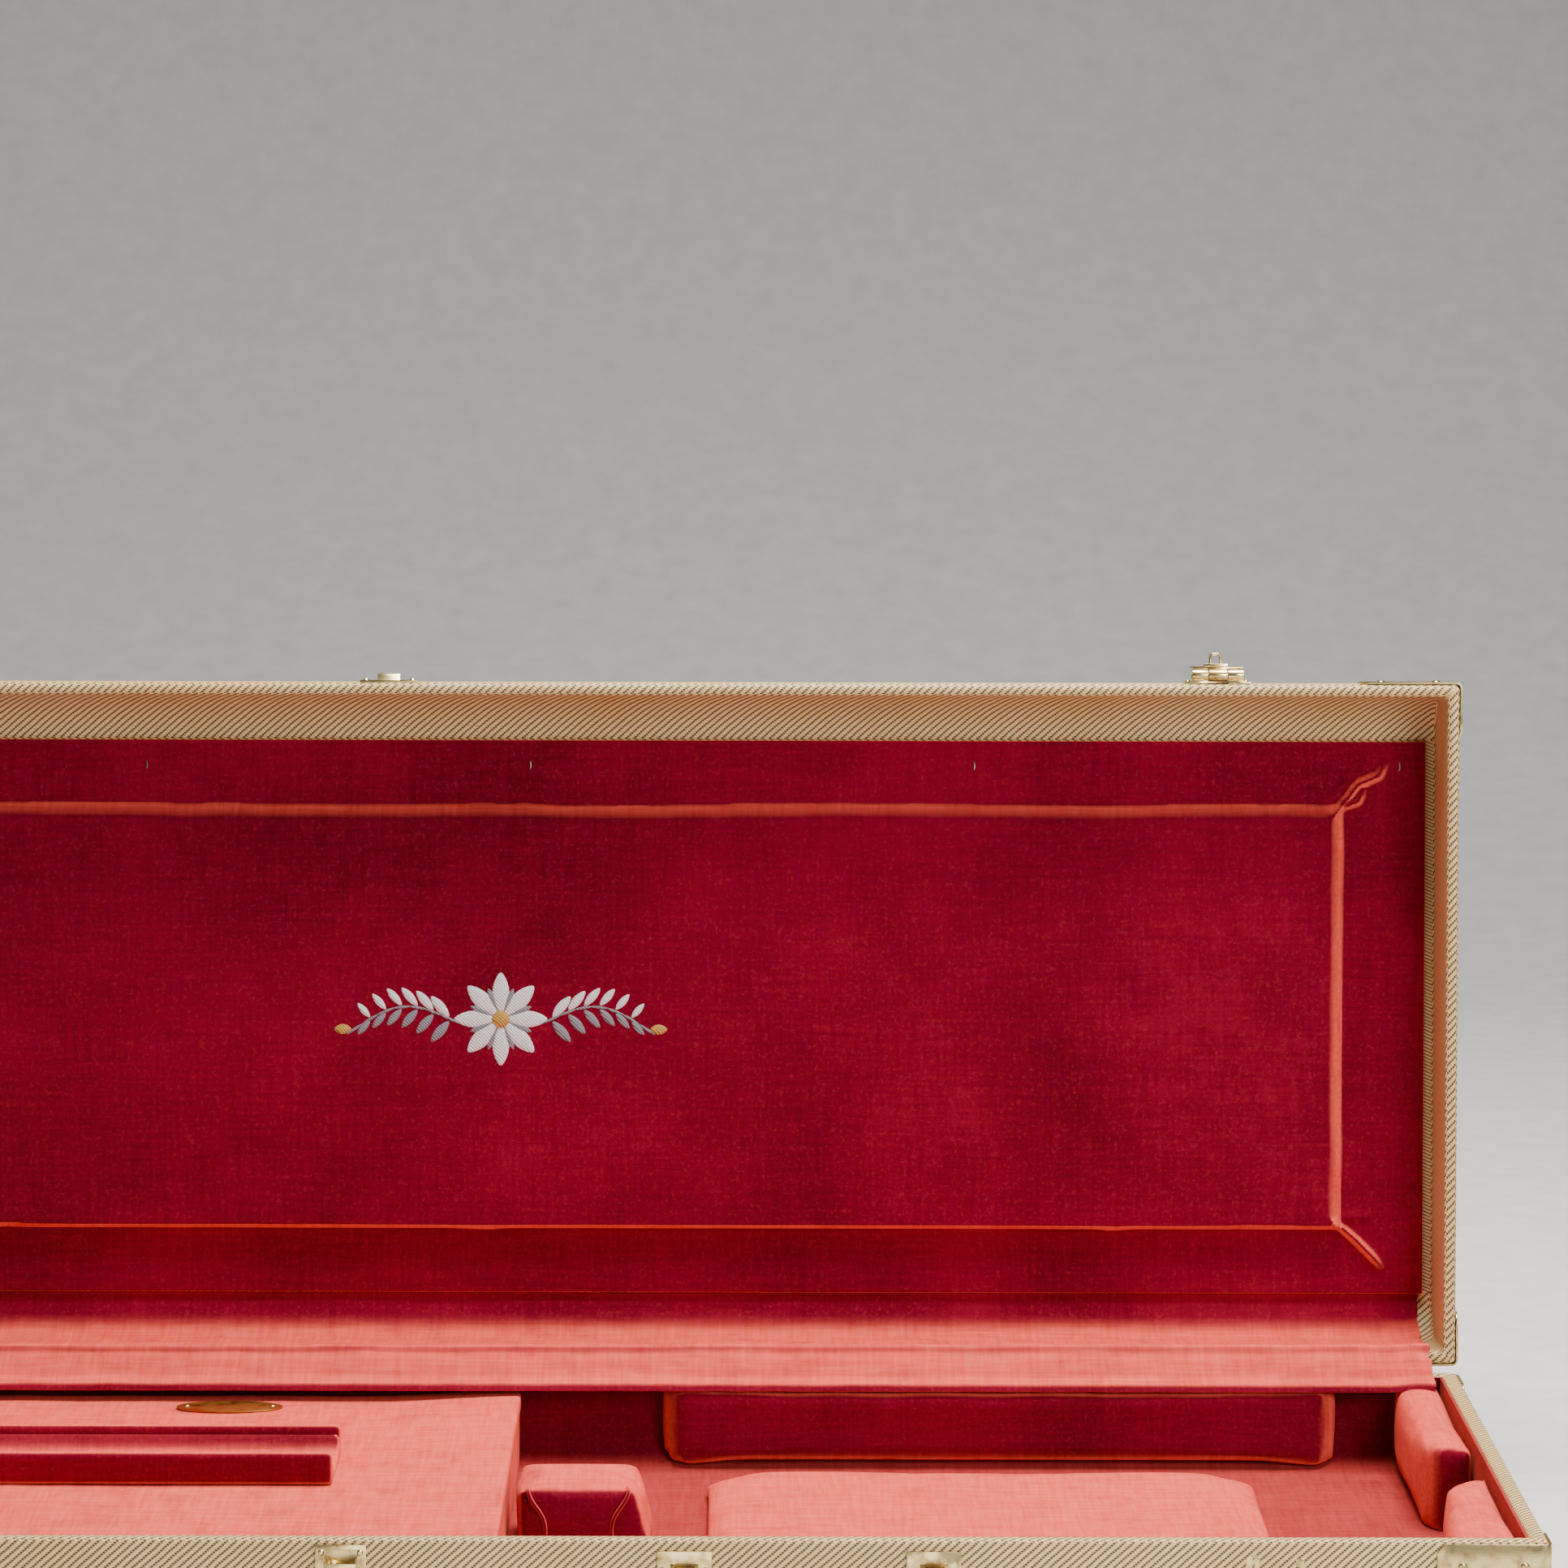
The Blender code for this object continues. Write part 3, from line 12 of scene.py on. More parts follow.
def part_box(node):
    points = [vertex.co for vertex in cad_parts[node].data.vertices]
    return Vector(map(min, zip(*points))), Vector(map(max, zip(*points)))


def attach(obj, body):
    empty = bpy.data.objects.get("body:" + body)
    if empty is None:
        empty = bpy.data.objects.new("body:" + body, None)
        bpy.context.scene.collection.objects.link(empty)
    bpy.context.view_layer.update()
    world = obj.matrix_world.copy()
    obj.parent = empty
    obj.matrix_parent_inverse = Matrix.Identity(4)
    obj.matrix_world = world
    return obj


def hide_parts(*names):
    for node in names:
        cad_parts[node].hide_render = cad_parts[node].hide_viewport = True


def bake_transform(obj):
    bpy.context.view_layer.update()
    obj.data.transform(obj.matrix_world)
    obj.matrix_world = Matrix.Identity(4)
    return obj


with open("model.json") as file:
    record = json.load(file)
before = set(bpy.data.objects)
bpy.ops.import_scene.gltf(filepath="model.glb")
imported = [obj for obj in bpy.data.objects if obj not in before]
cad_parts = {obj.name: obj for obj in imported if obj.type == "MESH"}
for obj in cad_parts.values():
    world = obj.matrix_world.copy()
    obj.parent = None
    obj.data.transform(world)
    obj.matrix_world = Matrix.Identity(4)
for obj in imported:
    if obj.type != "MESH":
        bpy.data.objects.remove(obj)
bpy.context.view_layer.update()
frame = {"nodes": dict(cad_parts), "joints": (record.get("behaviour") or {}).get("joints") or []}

# ---------------------------------------------------------------- sizes that the frame doesn't give
MM = 0.001
BEND = 0.034  # outer radius of the plywood's long edges
RIM_ROUND = 0.0028  # where the tweed turns over the base's rim
PLY_EDGE_ROUND = 0.0032  # and over the lid's
STRIP_THICKNESS = 0.0012  # plush over the hinges
TWEED_LINE_SPACING = 4.7  # mm along the cloth, from one brown line to the next
TWEED_YARN_SPACING = 1.5  # mm, from one plump yarn to the next
YARN_LEAN = 0.42  # how far a yarn's dashes shift along the cloth for each mm across it
LINE_LEAN = 1.12  # how far a brown line shifts across the cloth for each mm along it
PAD_SWELL = 0.0030  # how far the pads' tops stand above their foam
PRESSED_IN = 0.0022  # how deep a pad sinks into the plush under it
PAD_FOOT = 0.007  # height over which a pad's foot is pressed in
LINING_FLOOR = 0.0047  # the base's lining under the pads
LINING_WALL = 0.0015
FOLD_REACH = 0.045  # how far from a corner of the field its folds may lie
FIELD_SLOPE = 0.0095  # width of the lid's foam field's sloping edges
FIELD_LOWER_SLOPE = 0.0022  # of the edge nearest the hinges, which is cut steeper
BOARD_PITCH = 0.006  # grid of the compartment lid's plush
BRACKET_THICKNESS = 0.0012
BRACKET_TIP = 0.007  # rounding of a bracket's tips
BRACKET_CORNER = 0.0035  # rounding where a bracket turns the corner
BRACKET_RIVET = (0.0024, 0.0010)  # radius and rise of its rivet heads
NAME_PIN = (0.0019, 0.0009)  # the same, of the two pins in the oval plate
NAME_PIN_INSET = 0.006
ORNAMENT_CENTRE = (-0.025, 0.0015)
STAPLE_PLACES = (-0.459, -0.234, -0.008, 0.2535, 0.504)
STAPLE_WIRE = 0.0004  # radius of the wire
STRIP_LIFT = 0.0009  # of the strip over the hinges, off the lid's inside
STRIP_SHORT = 0.008  # how much shorter it is at its right end
TROUGH_RAIL = 0.0074  # width of a rail beside the neck's hollow
TROUGH_FLOOR = 0.0035  # height of the hollow's lowest place over the board
TROUGH_RIM = 0.002  # how far the hollow stays under the rails' tops
PIPING_RADIUS = 0.0011

# light and camera
LIGHT_AIM = (0.15, 0.0, 0.2)
CAMERA_PLACE = (0.1205, -3.1002, 0.8037)
CAMERA_LENS = 132.87
CAMERA_SHIFT = 0.0227
CAMERA_DIP = 6.822  # degrees below level
CAMERA_ROLL = 0.115

# ---------------------------------------------------------------- places
JOINTS = {joint["name"]: joint for joint in frame["joints"]}
HINGE = Vector(JOINTS["lid_hinge"]["pos_m"])
OPEN_ANGLE = math.radians(JOINTS["lid_hinge"]["range_deg"][1])
OPEN_TURN = (
    Matrix.Translation(HINGE)
    @ Matrix.Rotation(-OPEN_ANGLE, 4, "X")
    @ Matrix.Translation(-HINGE)
)


def shut_box(*nodes):
    """Lowest and highest corner of the lid's nodes as they lie on a closed case."""
    back = OPEN_TURN.inverted()
    points = [back @ v.co for name in nodes for v in frame["nodes"][name].data.vertices]
    low = Vector([min(p[i] for p in points) for i in range(3)])
    high = Vector([max(p[i] for p in points) for i in range(3)])
    return low, high


BASE_LOW, BASE_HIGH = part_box("base_wrap")
LID_LOW, LID_HIGH = shut_box("lid_wrap")
BASE_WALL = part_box("base_end_left")[1].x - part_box("base_end_left")[0].x
LID_WALL = shut_box("lid_end_left")[1].x - shut_box("lid_end_left")[0].x


# ---------------------------------------------------------------- modelling by hand
def alone(piece):
    """Only this piece is selected and active."""
    bpy.ops.object.select_all(action="DESELECT")
    piece.select_set(True)
    bpy.context.view_layer.objects.active = piece


def block(name, low, high):
    """A cube primitive with these corners."""
    bpy.ops.object.select_all(action="DESELECT")
    low, high = Vector(low), Vector(high)
    bpy.ops.mesh.primitive_cube_add(size=1.0, location=(low + high) / 2)
    piece = bpy.context.object
    piece.scale = high - low
    return settled(piece, name)


def settled(piece, name):
    """The piece's place, turn and scale go into its mesh."""
    piece.name = name
    piece.data.name = name
    alone(piece)
    bpy.ops.object.transform_apply(location=True, rotation=True, scale=True)
    return piece


def pick(piece, kind, test):
    """Edit mode with only the vertices, edges or faces that test accepts selected."""
    alone(piece)
    bpy.ops.object.mode_set(mode="EDIT")
    bpy.ops.mesh.select_mode(type=kind)
    bpy.ops.mesh.select_all(action="DESELECT")
    bm = bmesh.from_edit_mesh(piece.data)
    for part in {"VERT": bm.verts, "EDGE": bm.edges, "FACE": bm.faces}[kind]:
        if test(part):
            part.select_set(True)
    bmesh.update_edit_mesh(piece.data)


def done():
    bpy.ops.object.mode_set(mode="OBJECT")


def push(x=0.0, y=0.0, z=0.0):
    """Extrudes what is selected."""
    bpy.ops.mesh.extrude_region_move(TRANSFORM_OT_translate={"value": (x, y, z)})


def modify(piece, kind, **settings):
    """Adds a modifier with these settings and applies it."""
    alone(piece)
    modifier = piece.modifiers.new(kind.lower(), kind)
    for key, value in settings.items():
        setattr(modifier, key, value)
    bpy.ops.object.modifier_apply(modifier=modifier.name)


def round_edges(piece, width, segments=3, angle=35):
    modify(
        piece,
        "BEVEL",
        width=width,
        segments=segments,
        limit_method="ANGLE",
        angle_limit=math.radians(angle),
    )


def smooth(piece, angle=40):
    alone(piece)
    bpy.ops.object.shade_smooth_by_angle(angle=math.radians(angle))


def joined(pieces, name):
    """One object of several; the first keeps its place in the table."""
    bpy.ops.object.select_all(action="DESELECT")
    for piece in pieces:
        piece.select_set(True)
    bpy.context.view_layer.objects.active = pieces[0]
    bpy.ops.object.join()
    pieces[0].name = name
    return pieces[0]


def merged_copy(name, node):
    """A copy of a CAD solid, with its loose triangles merged into whole faces."""
    piece = bpy.data.objects.new(name, frame["nodes"][node].data.copy())
    bpy.context.scene.collection.objects.link(piece)
    piece.data.materials.clear()
    alone(piece)
    bpy.ops.mesh.customdata_custom_splitnormals_clear()
    bpy.ops.object.mode_set(mode="EDIT")
    bpy.ops.mesh.select_all(action="SELECT")
    bpy.ops.mesh.remove_doubles(threshold=0.00001)
    bpy.ops.mesh.dissolve_limited(angle_limit=math.radians(1))
    done()
    return piece


def cord(name, points, radius):
    """A round cord through these points, as a closed mesh."""
    bpy.ops.object.select_all(action="DESELECT")
    bpy.ops.curve.primitive_bezier_curve_add()
    piece = bpy.context.object
    bpy.ops.object.mode_set(mode="EDIT")
    bpy.ops.curve.select_all(action="SELECT")
    bpy.ops.curve.subdivide(number_cuts=len(points) - 2)
    bpy.ops.curve.handle_type_set(type="AUTOMATIC")
    done()
    for knot, place in zip(piece.data.splines[0].bezier_points, points):
        knot.co = place
    piece.data.bevel_depth = radius
    piece.data.bevel_resolution = 2
    piece.data.resolution_u = 6
    piece.data.use_fill_caps = True
    alone(piece)
    bpy.ops.object.convert(target="MESH")
    piece = settled(bpy.context.object, name)
    smooth(piece, 50)
    return piece


def flowing(marks, steps):
    """Points on a smooth line through these marks, and how many points there are to a mark."""
    points = []
    for i in range(len(marks) - 1):
        before, after = marks[max(i - 1, 0)], marks[min(i + 2, len(marks) - 1)]
        start, end = marks[i], marks[i + 1]
        for step in range(steps):
            t = step / steps
            points.append(
                0.5
                * (
                    2 * start
                    + (end - before) * t
                    + (2 * before - 5 * start + 4 * end - after) * t * t
                    + (3 * start - before - 3 * end + after) * t**3
                )
            )
    return [*points, marks[-1]], steps


def turned_open(piece):
    """From its place on a closed case to its place on the open lid."""
    piece.matrix_world = OPEN_TURN
    alone(piece)
    bpy.ops.object.transform_apply(location=True, rotation=True, scale=True)
    return piece


def dress(piece, material, body, *nodes, slot=None):
    """The piece's finish, the body that it moves with, and the CAD nodes that it stands for."""
    piece.data.materials.clear()
    piece.data.materials.append(material)
    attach(piece, body)
    if nodes:
        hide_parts(*nodes)
    return piece


def rough(x, y, size, seed=0.0):
    """A smooth, repeatable unevenness from -1 to 1 over about size metres."""
    return noise.noise(Vector((x / size, y / size, seed)))


def ease(t):
    t = max(0.0, min(1.0, t))
    return t * t * (3 - 2 * t)


# ---------------------------------------------------------------- materials
def linear(hex_colour):
    """An sRGB hex colour as linear RGBA."""
    parts = [int(hex_colour[i : i + 2], 16) / 255 for i in (1, 3, 5)]
    made = [c / 12.92 if c <= 0.04045 else ((c + 0.055) / 1.055) ** 2.4 for c in parts]
    return (*made, 1.0)


def add(tree, kind, settings, inputs):
    """Adds a shader node with its settings, and its inputs as values or as links from other nodes."""
    made = tree.nodes.new("ShaderNode" + kind)
    for key, value in settings.items():
        setattr(made, key, value)
    for key, value in inputs.items():
        if isinstance(value, bpy.types.NodeSocket):
            tree.links.new(value, made.inputs[key])
        else:
            made.inputs[key].default_value = value
    return made


def math_node(tree, operation, *values):
    """The output of a Math node with these inputs."""
    return add(tree, "Math", {"operation": operation}, dict(enumerate(values))).outputs[0]


def ramp(tree, value, start, end, low=0.0, high=1.0, smooth_ends=False):
    """The value's place from start to end, brought to the range from low to high."""
    settings = {"interpolation_type": "SMOOTHSTEP"} if smooth_ends else {}
    limits = {"From Min": start, "From Max": end, "To Min": low, "To Max": high}
    return add(tree, "MapRange", settings, {"Value": value, **limits}).outputs[0]


def blended(tree, share, first, second, kind="MIX"):
    """The output of a colour mix."""
    inputs = {"Fac": share, "Color1": first, "Color2": second}
    return add(tree, "MixRGB", {"blend_type": kind}, inputs).outputs[0]


def uneven(tree, place, size, detail, roughness=0.5):
    """The output of a noise texture."""
    inputs = {"Vector": place, "Scale": size, "Detail": detail, "Roughness": roughness}
    return add(tree, "TexNoise", {}, inputs).outputs[0]


def start_material(name, **values):
    """A new material, its node tree and its Principled shader with these constants."""
    material = bpy.data.materials.new(name)
    material.use_nodes = True
    shader = material.node_tree.nodes["Principled BSDF"]
    for key, value in values.items():
        shader.inputs[key.replace("_", " ")].default_value = value
    return material, material.node_tree, shader


def raise_surface(tree, shader, strength, distance, height):
    bump = add(tree, "Bump", {}, {"Strength": strength, "Distance": distance, "Height": height})
    tree.links.new(bump.outputs[0], shader.inputs["Normal"])


def woven_tweed():
    """Cotton-rayon twill, lacquered: straw yarns with brown dashes that line up into slanting lines."""
    material, tree, shader = start_material("lacquered straw tweed", Roughness=0.6)
    shader.inputs["Coat Weight"].default_value = 0.12
    shader.inputs["Coat Roughness"].default_value = 0.45
    uv = add(tree, "TexCoord", {}, {}).outputs["UV"]
    # UVs are metres along the cloth, so these count in millimetres
    cloth = add(tree, "Mapping", {}, {"Vector": uv, "Scale": (1000, 1000, 1000)}).outputs[0]
    part = add(tree, "SeparateXYZ", {}, {0: cloth})
    across, along = part.outputs["X"], part.outputs["Y"]
    steps = math_node(tree, "MULTIPLY_ADD", across, YARN_LEAN, along)
    steps = math_node(tree, "MULTIPLY", steps, 2 * math.pi / TWEED_YARN_SPACING)
    dash = math_node(tree, "SINE", steps)
    warped = uneven(tree, cloth, 0.11, 1.0)
    lean = math_node(tree, "MULTIPLY_ADD", along, -LINE_LEAN, across)
    lean = math_node(tree, "MULTIPLY_ADD", warped, 0.9, lean)
    lean = math_node(tree, "MULTIPLY_ADD", dash, 0.28, lean)
    turns = math_node(tree, "MULTIPLY", lean, 2 * math.pi / TWEED_LINE_SPACING)
    line = math_node(tree, "COSINE", turns)
    on_line = ramp(tree, line, 0.0, 0.5, smooth_ends=True)
    on_dash = ramp(tree, dash, -0.9, 0.2, low=0.5, smooth_ends=True)
    brown = math_node(tree, "MULTIPLY", on_line, on_dash)
    # cream yarns vary a little from one to the next, and the lacquer has yellowed in patches
    yarn = add(tree, "Mapping", {}, {"Vector": cloth, "Scale": (0.9, 0.35, 1.0), "Rotation": (0, 0, 0.7)})
    mottled = uneven(tree, yarn.outputs[0], 1.0, 3.0)
    patches = uneven(tree, cloth, 0.012, 2.0)
    straw = blended(tree, mottled, linear("#dcb56c"), linear("#fae6b2"))
    straw = blended(tree, patches, straw, linear("#f1dcae"), "MULTIPLY")
    # painted shade in the valleys between plump yarns
    valley_shade = ramp(tree, dash, -1.0, -0.2, 0.45, 0.0, smooth_ends=True)
    straw = blended(tree, valley_shade, straw, linear("#9c7130"))
    colour = blended(tree, brown, straw, linear("#42240a"))
    tree.links.new(colour, shader.inputs["Base Color"])
    # yarns stand up between the brown dashes
    thread = math_node(tree, "MULTIPLY_ADD", dash, 0.3, 0.6)
    height = math_node(tree, "MULTIPLY_ADD", brown, -0.8, thread)
    raise_surface(tree, shader, 0.6, 0.0006, height)
    return material


def crimson_plush(name, deep, bright, most_sheen):
    """Short cotton plush: dark where one looks into the pile, with a painted salmon sheen where it is seen
    from the side.
    """
    material, tree, shader = start_material(name, Roughness=0.9)
    shader.inputs["Specular IOR Level"].default_value = 0.08
    shader.inputs["Sheen Weight"].default_value = 0.12
    shader.inputs["Sheen Roughness"].default_value = 0.35
    shader.inputs["Sheen Tint"].default_value = linear("#ff6f5e")
    place = add(tree, "TexCoord", {}, {}).outputs["Object"]
    nap = ramp(tree, uneven(tree, place, 9.0, 4.0), 0.32, 0.68)
    # warp and weft of the ground cloth show as faint streaks, about 2 mm wide
    streaks = []
    for scale in ((420, 30, 30), (30, 420, 420)):
        along = add(tree, "Mapping", {}, {"Vector": place, "Scale": scale})
        streaks.append(uneven(tree, along.outputs[0], 1.0, 2.0))
    weave = ramp(tree, math_node(tree, "ADD", *streaks), 0.7, 1.3)
    blend = math_node(tree, "MULTIPLY", weave, 0.4)
    blend = math_node(tree, "MULTIPLY_ADD", nap, 0.6, blend)
    red = blended(tree, blend, linear(deep), linear(bright))
    # tufts that lie over show their lighter sides, in flecks about 2 mm across
    tufts = uneven(tree, place, 420.0, 3.0, 0.7)
    lying = ramp(tree, tufts, 0.52, 0.74, high=0.26)
    red = blended(tree, lying, red, linear("#b03338"))
    # painted sheen in the base colour: where the pile is seen at a low angle the ends of its fibres fill
    # the sight line, less so where it is rubbed
    low_angle = add(tree, "LayerWeight", {}, {"Blend": 0.5}).outputs["Facing"]
    kept = ramp(tree, uneven(tree, place, 38.0, 6.0, 0.65), 0.3, 0.5, low=0.74)
    sheen = ramp(tree, low_angle, 0.08, 0.46, high=most_sheen, smooth_ends=True)
    sheen = math_node(tree, "MULTIPLY", sheen, kept)
    painted_sheen_colour = blended(tree, weave, linear("#dc4a3c"), linear("#ee6351"))
    colour = blended(tree, sheen, red, painted_sheen_colour)
    tree.links.new(colour, shader.inputs["Base Color"])
    height = math_node(tree, "MULTIPLY_ADD", weave, 0.5, tufts)
    raise_surface(tree, shader, 0.35, 0.0005, height)
    return material


def plated_metal(name, clean, stained, roughness):
    """Pressed steel, brass plated: bright on the faces, browned in patches, finely scratched."""
    material, tree, shader = start_material(name, Metallic=1.0)
    place = add(tree, "TexCoord", {}, {}).outputs["Object"]
    patches = uneven(tree, place, 140.0, 4.0)
    worn = ramp(tree, patches, 0.45, 0.72)
    tree.links.new(blended(tree, worn, linear(clean), linear(stained)), shader.inputs["Base Color"])
    dull = ramp(tree, patches, 0.3, 0.8, roughness * 0.7, roughness * 1.6)
    tree.links.new(dull, shader.inputs["Roughness"])
    brushed = add(tree, "Mapping", {}, {"Vector": place, "Scale": (150, 2600, 2600)})
    scratch = uneven(tree, brushed.outputs[0], 1.0, 2.0)
    raise_surface(tree, shader, 0.08, 0.0002, scratch)
    return material


def saddle_leather():
    """Vegetable-tanned cowhide, pressed and waxed: fine grain, uneven in tone."""
    material, tree, shader = start_material("waxed brown leather", Roughness=0.48)
    shader.inputs["Coat Weight"].default_value = 0.2
    shader.inputs["Coat Roughness"].default_value = 0.35
    place = add(tree, "TexCoord", {}, {}).outputs["Object"]
    tone = uneven(tree, place, 45.0, 4.0)
    tree.links.new(blended(tree, tone, linear("#2c1509"), linear("#6d3b1c")), shader.inputs["Base Color"])
    grain = add(tree, "TexVoronoi", {}, {"Vector": place, "Scale": 1100.0}).outputs["Distance"]
    raise_surface(tree, shader, 0.35, 0.0003, grain)
    return material


def sewing_thread(name, colour_hex, shadow_hex):
    """Spun thread laid side by side, drawn coarser than real thread so that its ridges show."""
    material, tree, shader = start_material(name, Roughness=0.55)
    shader.inputs["Sheen Weight"].default_value = 0.3
    place = add(tree, "TexCoord", {}, {}).outputs["Object"]
    spun = {"Vector": place, "Scale": 300.0, "Distortion": 1.5}
    ridges = add(tree, "TexWave", {"bands_direction": "DIAGONAL"}, spun).outputs[1]
    colour = blended(tree, ridges, linear(shadow_hex), linear(colour_hex))
    tree.links.new(colour, shader.inputs["Base Color"])
    raise_surface(tree, shader, 0.5, 0.0004, ridges)
    return material


def plain_finish(name, colour_hex, roughness, grit):
    """A matt surface with a fine unevenness of this many bumps in a metre."""
    material, tree, shader = start_material(name, Roughness=roughness)
    place = add(tree, "TexCoord", {}, {}).outputs["Object"]
    shade = ramp(tree, uneven(tree, place, grit, 3.0), 0.0, 1.0, 0.85, 1.1)
    colour = blended(tree, 1.0, linear(colour_hex), shade, "MULTIPLY")
    tree.links.new(colour, shader.inputs["Base Color"])
    return material


TWEED = woven_tweed()
PLUSH = crimson_plush("crimson cotton plush", "#570014", "#820826", 0.9)
# plush glued flat in the base's lining: less painted sheen, and deeper crimsons that are painted shade for
# the lining's recesses
SHADED_GLUED_PLUSH = crimson_plush("crimson cotton plush, glued flat, with painted shade", "#4c0010", "#74061f", 0.3)
PLATED = plated_metal("brass-plated steel", "#dcc48a", "#8f713c", 0.24)
NAME_BRASS = plated_metal("aged brown brass", "#b98a45", "#936428", 0.36)
LEATHER = saddle_leather()
WHITE_THREAD = sewing_thread("white rayon thread", "#f2f0ee", "#b9b4b4")
GREY_THREAD = sewing_thread("grey rayon thread", "#8f8d93", "#5b5960")
GOLD_THREAD = sewing_thread("gold rayon thread", "#d2a13c", "#8a641d")
STAPLE_STEEL = plated_metal("dull staple wire", "#b3aaa6", "#6d6462", 0.4)
FLOOR_PAINT = plain_finish("pale studio floor", "#d9d7d3", 0.7, 40.0)


# ---------------------------------------------------------------- tweed shells
def shell(name, low, high, wall, floor, bend, mouth, rounding):
    """A tray with bent long edges, hollowed from its mouth, which faces up (1) or down (-1)."""
    piece = block(name, low, high)
    depth = high.z - low.z - floor
    bottom = low.z if mouth > 0 else high.z
    pick(piece, "FACE", lambda f: f.normal.z * mouth > 0.9)
    bpy.ops.mesh.inset(thickness=wall)
    push(z=-mouth * depth)
    done()
    half = high.y

    def long_edge(edge, y, z):
        ends = [v.co for v in edge.verts]
        return all(abs(abs(p.y) - y) < MM / 4 and abs(p.z - z) < MM / 4 for p in ends) and (
            abs(ends[0].x - ends[1].x) > 10 * MM
        )

    pick(piece, "EDGE", lambda e: long_edge(e, half, bottom))
    bpy.ops.mesh.bevel(offset=bend, segments=14, affect="EDGES")
    done()
    inner_bottom = bottom + mouth * floor
    pick(piece, "EDGE", lambda e: long_edge(e, half - wall, inner_bottom))
    bpy.ops.mesh.bevel(offset=bend - wall, segments=12, affect="EDGES")
    done()
    if rounding:
        round_edges(piece, rounding, segments=4, angle=35)
    smooth(piece, 50)
    return piece


def lay_cloth(piece, low, high, wall, bend, mouth):
    """UVs in metres along the cloth, as it runs up the outside, over the rim and down the inside."""
    bottom = low.z if mouth > 0 else high.z
    rim = high.z - low.z
    half_length, half_width = high.x, high.y
    outer_run = half_width - bend + bend * math.pi / 2 + rim - bend
    inner_bend = bend - wall
    inner_run = half_width - wall - inner_bend + inner_bend * math.pi / 2 + rim - wall - inner_bend
    for spare in list(piece.data.uv_layers):
        piece.data.uv_layers.remove(spare)
    layer = piece.data.uv_layers.new(name="cloth")
    for face in piece.data.polygons:
        normal, centre = face.normal, face.center
        tall = (centre.z - bottom) * mouth
        on_rim = normal.z * mouth > 0.6 and tall > rim - 4 * MM
        at_end = abs(centre.x) > half_length - wall
        outside = abs(centre.y) > half_width - wall / 2 or tall < wall / 2
        end_outside = abs(centre.x) > half_length - wall / 2
        radius = bend if outside else inner_bend
        across = half_width if outside else half_width - wall
        under = 0.0 if outside else wall
        for index in face.loop_indices:
            p = piece.data.vertices[piece.data.loops[index].vertex_index].co
            h = (p.z - bottom) * mouth
            along_end = -mouth * math.copysign(1.0, p.x) * p.y
            side = -mouth * math.copysign(1.0, p.y)
            if on_rim and at_end:
                place = (along_end, rim + half_length - abs(p.x))
            elif on_rim:
                place = (p.x, side * (outer_run + half_width - abs(p.y)))
            elif abs(normal.x) > 0.7:
                place = (along_end, h if end_outside else rim + wall + rim - h)
            else:
                beyond = abs(p.y) - (across - radius)
                above = h - (under + radius)
                if beyond <= 0:
                    run = abs(p.y)
                elif above >= 0:
                    run = across - radius + radius * math.pi / 2 + above
                else:
                    run = across - radius + radius * math.atan2(beyond, -above)
                if not outside:
                    run = outer_run + wall + inner_run - run
                place = (p.x, side * run)
            layer.data[index].uv = place


def make_shells():
    base = shell(
        "base_tweed", BASE_LOW, BASE_HIGH, BASE_WALL, BASE_WALL, BEND, 1, RIM_ROUND
    )
    lay_cloth(base, BASE_LOW, BASE_HIGH, BASE_WALL, BEND, 1)
    dress(base, TWEED, "base", "base_wrap", "base_end_left", "base_end_right", slot="tweed_cloth")
    lid = shell("lid_tweed", LID_LOW, LID_HIGH, LID_WALL, LID_WALL, BEND, -1, PLY_EDGE_ROUND)
    lay_cloth(lid, LID_LOW, LID_HIGH, LID_WALL, BEND, -1)
    turned_open(lid)
    dress(lid, TWEED, "lid", "lid_wrap", "lid_end_left", "lid_end_right", slot="tweed_cloth")


# ---------------------------------------------------------------- plush on boards
def lines_between(start, end, near, coarse, fine):
    """Places from start to end, coarse steps apart, and fine steps apart round the places in near."""
    places = [start]
    while places[-1] < end - fine:
        close = any(abs(places[-1] - place) < 0.034 for place in near)
        places.append(min(places[-1] + (fine if close else coarse), end))
    places[-1] = end
    return places


